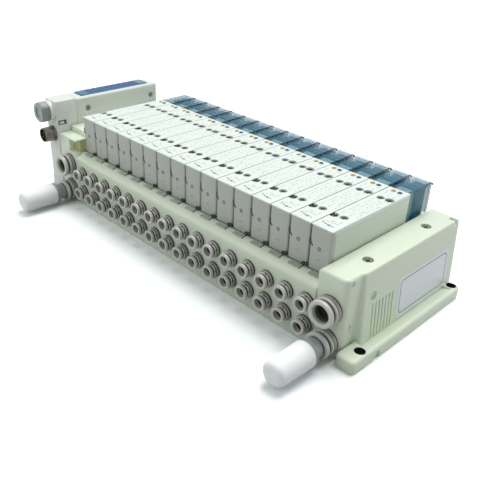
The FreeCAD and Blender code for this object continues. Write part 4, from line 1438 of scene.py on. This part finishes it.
@dataclass
class EndBlocks:
    """Both end blocks with their screws, dimples and the blank sticker.

    Attributes:
        edge: Rounding of the moulded edges of the left block.
        round_over: Rounding of the top edges of the right block.
        pillar: Width of the pillar that carries the ports.
        sticker_low: Lowest corner of the sticker, as y and z.
        sticker_high: Highest corner of the sticker, as y and z.
        front: Front of the right block.
        rear: Rear of the right block.
        wall_front: Front of the drafted wall.
        pillar_round: Rounding of the pillar's corner.
        hollow: Rounding between the pillar and the wall.
        wall_round: Rounding of the wall's corners.
        wall_low: Reach of the drafted wall at the floor.
        wall_high: Reach of the drafted wall at the top.
        screw_well: Depth of the counterbores.
        screw_rows: Places of the counterbores along the right block.
        screw_head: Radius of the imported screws.
        foot_wide: Width of the right foot.
        foot_high: Height of the feet.
        foot_fall: Fall of the right foot's top towards the wall.
        hole: Radius of the mounting holes.
        hole_set: Distance of the mounting holes from the side of a foot.
        hole_rows: Places of the mounting holes along a foot.
        grooves: Number of grip grooves.
        groove_start: Place of the first groove.
        groove_pitch: Spacing of the grooves.
        groove_wide: Width of a groove.
        groove_rise: Heights of the lower and the upper end of a groove.
    """

    edge: float = 0.8
    round_over: float = 2.0
    pillar: float = 20.0
    sticker_low: Flat = (41.2, 8.0)
    sticker_high: Flat = (100.7, 37.0)
    front: float = -9.0
    rear: float = 110.0
    wall_front: float = 5.0
    pillar_round: float = 4.2
    hollow: float = 3.0
    wall_round: float = 2.5
    wall_low: float = 25.5
    wall_high: float = 21.5
    screw_well: float = 3.0
    screw_rows: Flat = (19.6, 82.8)
    screw_head: float = 3.1
    foot_wide: float = 13.6
    foot_high: float = 8.7
    foot_fall: float = 2.8
    hole: float = 3.5
    hole_set: float = 5.0
    hole_rows: Flat = (-1.0, 103.0)
    grooves: int = 7
    groove_start: float = 14.0
    groove_pitch: float = 3.4
    groove_wide: float = 1.6
    groove_rise: Flat = (7.2, 31.5)

    def build(self, shop: Shop) -> None:
        """Builds both blocks and adds what is on them."""
        body = self._right_wall(shop).join(self._right_foot(shop))
        shop.publish("plain_end", body, [Finishes.BASE], ["end_block_right"])
        left = shop.copy_of("end_block_left").soften(self.edge, 3, COPY_ANGLE)
        shop.publish("connector_end", left, [Finishes.BASE], ["end_block_left"])
        self._screws(shop)
        self._hole_shade(shop)
        self._sticker(shop)
        low, high = shop.row.box("pocket_insert")
        low.y -= 1.0
        # Darker ground between the olive ribs: painted shade in the grooves.
        insert = Draft().box((low.x + 0.3, low.y + 0.8, low.z), (high.x - 0.3, high.y, high.z), 1)
        for left_side, right_side in ((0.0, 2.2), (3.1, 5.6), (6.5, high.x - low.x)):
            insert.box((low.x + left_side, low.y, low.z), (low.x + right_side, high.y, high.z))
        shop.publish("olive_insert", insert.soften(0.25, 2), [Finishes.OLIVE, Finishes.OLIVE_GROOVE_SHADE],
                     ["pocket_insert"])

    def _right_wall(self, shop: Shop) -> Draft:
        """Builds the pillar and the drafted wall of the right block."""
        start, top = shop.row.length, shop.row.box("end_block_right")[1].z
        pillar, reach, lean = self.pillar, self.wall_low, self._lean(shop)
        bend, hollow, corner = self.pillar_round, self.hollow, self.wall_round
        outline = [(0.0, self.front)]
        outline += arc((pillar - bend, self.front + bend), bend, -90, 0, 8)
        outline += arc((pillar + hollow, self.wall_front - hollow), hollow, 180, 90, 8)
        outline += arc((reach - corner, self.wall_front + corner), corner, -90, 0, 6)
        outline += arc((reach - corner, self.rear - corner), corner, 0, 90, 6)
        outline.append((0.0, self.rear))
        block = Draft().slab(outline, 0.0, top, self.round_over, 5)
        for vert in block.bm.verts:
            if vert.co.x > pillar:
                share = (vert.co.x - pillar) / (reach - pillar)
                vert.co.x -= lean * vert.co.z * min(share, 1.0)
            vert.co.x += start
        block.carve(self._wall_cutters(start, top, lean))
        return block

    def _wall_cutters(self, start: float, top: float, lean: float) -> Draft:
        """Collects what is cut out of the right block.

        Args:
            start: Side of the block towards the valves.
            top: Height of the block.
            lean: Fall of the wall for each millimetre of height.

        Returns:
            The cutters in one draft.
        """
        grooves = Draft()
        for rib in range(self.grooves):
            left = self.groove_start + self.groove_pitch * rib
            outline = rounded_box((left, self.groove_rise[0]),
                                  (left + self.groove_wide, self.groove_rise[1]), 0.75, 4)
            grooves.prism(outline, Axis.X, start + self.wall_low - 0.9, start + self.wall_low + 3)
        for vert in grooves.bm.verts:
            vert.co.x -= lean * vert.co.z
        for y, z in ((-4.0, 51.0), (-1.6, 20.7)):
            grooves.lathe([(0, -0.7), (1.7, -0.7), (2.0, -0.5), (2.0, 2), (0, 2)],
                          (start + self.pillar, y, z), RIGHTWARD, 24)
        wall = start + self.wall_low - 36.5 * lean
        grooves.lathe([(0, -1.3), (2.7, -1.3), (3.2, -0.9), (3.2, 2), (0, 2)],
                      (wall, 14.6, 36.5), RIGHTWARD, 28)
        for y in self.screw_rows:
            grooves.bar(3.4, -self.screw_well, 2, (start + 12.4, y, top))
        grooves.box((start + 16.6, 103.6, top - 3.2), (start + 30.0, 106.8, top + 2.0))
        return grooves

    def _right_foot(self, shop: Shop) -> Draft:
        """Builds the foot of the right block with its holes, mark and fillet."""
        length, high = shop.row.length, shop.row.box("end_block_right")[1]
        outer, top, lean = high.x, self.foot_high, self._lean(shop)
        plan = rounded_box((outer - self.foot_wide, -13.5), (outer, 107.0), 3.0, 6)
        foot, cuts = Draft().slab(plan, 0.0, top, 2.0, 5), Draft()
        for y in self.hole_rows:
            cuts.bar(self.hole, -1, top + 1, (outer - self.hole_set, y, 0), 36)
        cuts.lathe([(0, -1.0), (3.3, -1.0), (3.5, -0.8), (3.5, 1), (0, 1)], (outer, 9.6, 2.5),
                   RIGHTWARD, 32)
        side, low = length + self.wall_low - lean * top, top - self.foot_fall
        fall = [(side - 1.5, low), (outer - 2.2, top - 0.05), (outer - 2.2, top + 2.0),
                (side - 1.5, top + 2.0)]
        foot.carve(cuts).carve(Draft().prism(fall, Axis.Y, 3.4, 98.8))
        corner = [(side - 1.0, low - 1.0), (side + 0.9, low - 1.0)]
        corner += arc((side + 0.9, low + 1.2), 0.9, -90, -180, 6) + [(side - 1.0, low + 1.2)]
        return foot.join(Draft().prism(corner, Axis.Y, 8.0, 106.5))

    def _hole_shade(self, shop: Shop) -> None:
        """Builds dark tubes in the mounting holes of the feet: painted shade inside the holes."""
        shade_tubes, inner = Draft(), self.hole - 0.2
        for x in (shop.row.box("end_block_left")[0].x + self.hole_set,
                  shop.row.box("end_block_right")[1].x - self.hole_set):
            for y in self.hole_rows:
                shade_tubes.lathe([(self.hole, 0.1), (self.hole, 8.3), (inner, 8.3), (inner, 0.1),
                              (self.hole, 0.1)], (x, y, 0.0), UP, 36)
        shop.publish("hole_shade_tubes", shade_tubes, [Finishes.BLACK_AND_HOLE_SHADE])

    def _lean(self, shop: Shop) -> float:
        """Gives how far the wall falls back for each millimetre of height."""
        return (self.wall_low - self.wall_high) / shop.row.box("end_block_right")[1].z

    def _screws(self, shop: Shop) -> None:
        """Builds the four screws in the counterbores."""
        low, high = shop.row.box("block_screws")
        radius = self.screw_head
        places = [(x, y, shop.row.box(block)[1].z - self.screw_well)
                  for x, block in ((low.x + radius, "end_block_left"),
                                   (high.x - radius, "end_block_right"))
                  for y in (low.y + radius, high.y - radius)]
        heads = Draft()
        for place in places:
            heads.lathe([(0, 0), (3.05, 0), (3.05, 1.6), (2.6, 2.1), (0, 2.2)], place, UP, 28)
        for x, y, z in places:
            heads.cross((x, y, z + 2.4), 3.8, 1.0, 1.5)
        shop.publish("block_screw_heads", heads, [Finishes.STEEL],
                     ["block_screws"])

    def _sticker(self, shop: Shop) -> None:
        """Builds the blank sticker with a thin rounded rule on the drafted wall."""
        plate = Draft().prism(rounded_box(self.sticker_low, self.sticker_high, 1.5), Axis.X,
                              -0.3, 0.12)
        (left, bottom), (right, top) = self.sticker_low, self.sticker_high
        outer, inner = (
            [Axis.X.point(flat, 0.15) for flat in rounded_box(
                (left + step, bottom + step), (right - step, top - step + 0.2), radius, 8)]
            for step, radius in ((2.6, 3.5), (3.1, 3.0)))
        plate.band(outer, inner, 1)
        lean, reach = self._lean(shop), shop.row.length + self.wall_low
        for vert in plate.bm.verts:
            vert.co.x += reach - lean * vert.co.z
        shop.publish("blank_label", plate, [Finishes.STICKER, Finishes.STICKER_LINE])


@dataclass
class InterfaceUnit:
    """The bus interface: housing, window, front block, gland and connector.

    Attributes:
        edge: Rounding of the small edges.
        rim: Outer and inner inset of the dark rim of the window.
        lamps: Number of lamp fields.
        lamp_pitch: Spacing of the lamp fields.
        thread_turns: Number of thread crests on the connector.
        thread_start: Distance of the thread from the rear of the shell.
        crest: Radius of the thread's crests.
        root: Radius between the crests.
        contacts: Number of contacts.
        contact_circle: Radius of the circle of contacts.
    """

    edge: float = 0.5
    rim: Flat = (0.5, 1.4)
    lamps: int = 7
    lamp_pitch: float = 6.6
    thread_turns: int = 5
    thread_start: float = 4.0
    crest: float = 6.0
    root: float = 5.6
    contacts: int = 4
    contact_circle: float = 2.4

    def build(self, shop: Shop) -> None:
        """Builds every piece of the unit."""
        for name, node in (("unit_housing", "interface_housing"), ("unit_nose", "interface_nose")):
            block = shop.copy_of(node).soften(self.edge, 2, COPY_ANGLE)
            shop.publish(name, block, [Finishes.HOUSING], [node])
        side = shop.row.box("interface_nose")[1].x
        # The dark plate and bar of the latch are painted shade in its pocket.
        latch = Draft().box((side - 1.4, -8.3, 61.2), (side - 0.95, -0.9, 64.8), 1)
        latch.box((side - 1.2, -6.9, 61.9), (side - 0.1, -3.0, 63.9))
        latch.box((side - 1.2, -7.9, 61.4), (side - 0.2, -7.4, 64.6), 1)
        shop.publish("unit_latch", latch.soften(0.15, 1), [Finishes.HOUSING, Finishes.DARK_MOULDING_AND_SHADE])
        self._window(shop)
        self._side_screws(shop)
        self._gland(shop)
        self._connector(shop)

    def _window(self, shop: Shop) -> None:
        """Builds the clear window with a plain blue panel and lamp fields under it."""
        low, high = shop.row.box("interface_window")
        outline = rounded_box((low.x, low.y), (high.x, high.y), 1.8)
        high.z -= 0.05
        pane = Draft().slab(outline, low.z, high.z, 0.5, 3)
        print_low, print_high = (low.x + 1.6, low.y + 9.0), (high.x - 1.0, high.y - 8.0)
        pane.prism(rounded_box(print_low, print_high, 0.8), Axis.Z, high.z - 0.03,
                   high.z + 0.02, 1)
        pane.band(*([(*flat, high.z + 0.01) for flat in inset(outline, step)]
                    for step in self.rim), 3)
        for k in range(self.lamps):
            start = low.y + 12.0 + k * self.lamp_pitch
            for left, right, first, last in ((3.4, 4.6, 0.0, 3.4), (8.0, 8.7, 1.0, 5.6)):
                pane.box((low.x + left, start + first, high.z - 0.01),
                         (low.x + right, start + last, high.z + 0.03), 2)
        shop.publish("unit_window", pane,
                     [Finishes.UNIT_WINDOW, Finishes.WINDOW_PRINT, Finishes.WINDOW_MARK,
                      Finishes.WINDOW_RIM],
                     ["interface_window"])

    def _side_screws(self, shop: Shop) -> None:
        """Builds the two screws in the side of the housing."""
        low, high = shop.row.box("interface_screws")
        heads = Draft()
        level = (low.z + high.z) / 2
        for y in (low.y + 2.4, high.y - 2.4):
            heads.lathe([(0, 0), (2.35, 0), (2.35, 0.8), (1.9, 1.1), (0, 1.2)],
                        (low.x, y, level), RIGHTWARD, 24)
            for tall, long in ((2.8, 0.6), (0.6, 2.8)):
                heads.carve(Draft().box((low.x + 0.5, y - long / 2, level - tall / 2),
                                        (low.x + 2.0, y + long / 2, level + tall / 2)))
        shop.publish("unit_screws", heads, [Finishes.CAP_GREY],
                     ["interface_screws"])

    def _gland(self, shop: Shop) -> None:
        """Builds the cable gland with its flat-sided cap."""
        seat, length = shop.row.seat("gland_body")
        collar = Draft().lathe(
            [(0, 0), (7.9, 0), (8.0, 0.3), (8.0, length - 0.5), (7.6, length), (0, length)],
            seat, FORWARD, 48)
        shop.publish("gland_collar", collar, [Finishes.HOUSING],
                     ["gland_body"])
        seat, length = shop.row.seat("gland_cap")
        cap = Draft().lathe(
            [(0, 0), (8.0, 0), (8.2, 0.25), (8.2, length - 1.0), (7.9, length - 0.35),
             (7.3, length), (5.6, length), (5.4, length - 0.3), (4.4, length - 0.4),
             (4.2, length - 1.2), (0, length - 1.2)], seat, FORWARD, 48)
        x, rear, z = seat
        for middle in (x - 11, x + 11):
            cap.carve(Draft().box((middle - 4.4, rear - length - 1, z - 10),
                                  (middle + 4.4, rear + 1, z + 10)))
        # Thin dark ring at the rear of the cap: painted shade in the gap between cap and collar.
        cap.lathe([(8.23, 0.05), (8.23, 0.4), (8.0, 0.4), (8.0, 0.05)], seat, FORWARD, 48,
                  (1, 1, 1))
        shop.publish("gland_nut", cap, [Finishes.CAP_GREY, Finishes.DARK_MOULDING_AND_SHADE],
                     ["gland_cap"])

    def _connector(self, shop: Shop) -> None:
        """Builds the threaded shell, its insert and the contacts."""
        seat, length = shop.row.seat("connector_shell")
        start, pitch = self.thread_start, (length - 4.8) / self.thread_turns
        profile = [(0, 0), (6.5, 0), (6.7, 0.2), (6.7, 1.3), (6.5, 1.6), (6.0, 1.7), (6.0, 3.6),
                   (5.75, 3.75), (self.root, start)]
        for k in range(self.thread_turns):
            profile += [(self.crest, start + pitch * (k + 0.4)),
                        (self.crest, start + pitch * (k + 0.6)),
                        (self.root, start + pitch * (k + 1))]
        profile += [(5.9, length - 0.6), (5.75, length), (5.25, length), (5.2, 1.7), (0, 1.7)]
        shell = Draft().lathe(profile, seat, FORWARD, 48)
        shop.publish("plug_shell", shell, [Finishes.NICKEL], ["connector_shell"])
        x, _, z = seat
        (_, rear, _), depth = shop.row.seat("connector_insert")
        insert = Draft().lathe([(0, 0), (5.1, 0), (5.1, depth - 0.3), (4.8, depth), (0, depth)],
                               (x, rear, z), FORWARD, 40)
        insert.carve(Draft().box((x - 0.6, rear - depth - 1, z + 4.0),
                                 (x + 0.6, rear - 1, z + 6.0)))
        for place in arc((x, z), self.contact_circle, 45, 315, self.contacts - 1):
            insert.lathe([(0, 0), (0.5, 0), (0.5, 1.6), (0.3, 1.9), (0, 1.9)],
                         Axis.Y.point(place, rear - depth + 0.1), FORWARD, 14, (1, 1, 1, 1))
        shop.publish("plug_insert", insert, [Finishes.BLACK_AND_HOLE_SHADE, Finishes.GOLD],
                     ["connector_insert"])


@dataclass(frozen=True)
class Lamp:
    """A soft light that faces the part.

    Attributes:
        name: Name of the light.
        kind: Sun or square lamp.
        place: Its place in millimetres, or its direction if it is a sun.
        spread: Side of the square in millimetres, or width of the sun in degrees.
        power: Its power in watts, or per square metre if it is a sun.
    """

    name: str
    kind: LampKind
    place: Point
    spread: float
    power: float

    def build(self) -> None:
        """Adds the light to the scene."""
        lamp = bpy.data.lights.new(self.name, self.kind.value)
        if self.kind is LampKind.SUN:
            lamp.angle = math.radians(self.spread)
        else:
            lamp.shape = "SQUARE"
            lamp.size = self.spread * MM
        lamp.energy = self.power
        holder = add_object(self.name, lamp)
        holder.location = Vector(self.place) * MM
        holder.rotation_euler = Vector(self.place).to_track_quat("Z", "Y").to_euler()


@dataclass(frozen=True)
class Studio:
    """Floor, lights and the camera of the photograph.

    Attributes:
        azimuth: Direction of the camera round the part, in degrees.
        elevation: Height of the camera over the horizon, in degrees.
        roll: Turn of the camera about its own axis, in degrees.
        distance: Distance of the camera from its target.
        target: Point that the camera looks at, in the part's frame.
        focal_pixels: Focal length in pixels of the frame.
        frame_pixels: Width of the frame in pixels.
        sky_strength: Brightness of the sky.
        floor_pale: Colour that the floor lends to the part.
        floor_white: Colour of the floor to the eye.
        lights: Key, fill and side light.
    """

    azimuth: float = 44.545
    elevation: float = 29.243
    roll: float = 2.473
    distance: float = 493.91
    target: Point = (9.306, 5.266, -6.144)
    focal_pixels: float = 618.37
    frame_pixels: float = 480.0
    sky_strength: float = 0.28
    floor_pale: tuple[float, ...] = (0.46, 0.47, 0.47, 1.0)
    floor_white: tuple[float, ...] = (1.14, 1.18, 1.18, 1.0)
    lights: tuple[Lamp, ...] = (
        Lamp("key_light", LampKind.SUN, (-90, 300, 800), 38.0, 2.3),
        Lamp("fill_light", LampKind.SQUARE, (-300, -700, 480), 900, 2.4),
        Lamp("side_light", LampKind.SQUARE, (620, 520, 260), 500, 0.9))

    def build(self) -> None:
        """Builds the stage and sets the scene's camera."""
        self._floor()
        self._world()
        for light in self.lights:
            light.build()
        self._camera()
        bpy.context.scene.view_settings.view_transform = "Standard"

    def _floor(self) -> None:
        """Builds the pale floor."""
        draft = Draft().box((-6000, -6000, -40), (6000, 6000, 0))
        mesh = draft.mesh("floor", Vector((0.0, 0.0, -0.05)))
        material = bpy.data.materials.new("floor_white")
        material.use_nodes = True
        tree = material.node_tree
        tree.nodes.remove(tree.nodes["Principled BSDF"])
        pale, white = (add_node(tree, NodeKind.MATT, {"Color": colour})
                       for colour in (self.floor_pale, self.floor_white))
        self._show(tree, pale, white, "Material Output")
        mesh.materials.append(material)
        add_object("floor", mesh)

    def _world(self) -> None:
        """Sets an even pale sky that the camera sees as white."""
        world = bpy.data.worlds.new("studio")
        bpy.context.scene.world = world
        world.use_nodes = True
        tree = world.node_tree
        sky = tree.nodes["Background"]
        feed(tree, sky, {"Color": (0.94, 0.97, 1.0, 1.0), "Strength": self.sky_strength})
        white = add_node(tree, NodeKind.SKY, {"Color": (1.0, 1.0, 1.0, 1.0), "Strength": 1.0})
        self._show(tree, sky, white, "World Output")

    @staticmethod
    def _show(tree: Tree, lit: Node, seen: Node, end: str) -> None:
        """Shows one shader to camera, glossy and transmission rays and lights with the other.

        Args:
            tree: Nodes of the material or the world.
            lit: Shader for all other rays.
            seen: Shader that the eye sees.
            end: Name of the node that takes the surface.
        """
        rays = add_node(tree, NodeKind.RAYS).outputs
        share = rays["Is Camera Ray"]
        for kind in ("Is Glossy Ray", "Is Transmission Ray"):
            share = add_node(tree, NodeKind.MATH, {0: share, 1: rays[kind]}, "MAXIMUM").outputs[0]
        blend = add_node(tree, NodeKind.BLEND, {
            "Fac": share, 1: lit.outputs[0], 2: seen.outputs[0]})
        feed(tree, tree.nodes[end], {"Surface": blend.outputs[0]})

    def _camera(self) -> None:
        """Places the camera as in the photograph."""
        turn, rise, roll = (math.radians(v) for v in (self.azimuth, self.elevation, self.roll))
        back = Vector((math.sin(turn) * math.cos(rise), -math.cos(turn) * math.cos(rise),
                       math.sin(rise)))
        level = Vector((math.cos(turn), math.sin(turn), 0.0))
        upright = back.cross(level)
        right = level * math.cos(roll) + upright * math.sin(roll)
        up = upright * math.cos(roll) - level * math.sin(roll)
        lens = bpy.data.cameras.new("photo_camera")
        lens.sensor_width = 36.0
        lens.lens = self.focal_pixels / self.frame_pixels * lens.sensor_width
        lens.clip_start = 0.01
        lens.clip_end = 50.0
        camera = add_object("photo_camera", lens)
        turned = Matrix((right, up, back)).transposed().to_4x4()
        eye = (Vector(self.target) + back * self.distance) * MM
        camera.matrix_world = Matrix.Translation(eye) @ turned
        bpy.context.scene.camera = camera


def main() -> None:
    """Builds the dressed valve island and its studio."""
    logging.basicConfig(level=logging.INFO)
    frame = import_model()
    row = Row.from_frame()
    shop = Shop(row, frame["nodes"])
    assemblies = (ManifoldBase(), ValveRow(), Buttons(), PilotRow(), SmallFittings(),
                  LargeFittings(), Silencers(), EndBlocks(), InterfaceUnit())
    for assembly in assemblies:
        assembly.build(shop)
        LOG.info("%s done", type(assembly).__name__)
    shop.dress("tie_rods", Finishes.STEEL)
    Studio().build()
    bpy.context.view_layer.update()
    LOG.info("%d pieces", shop.count)


if __name__ == "__main__":
    main()
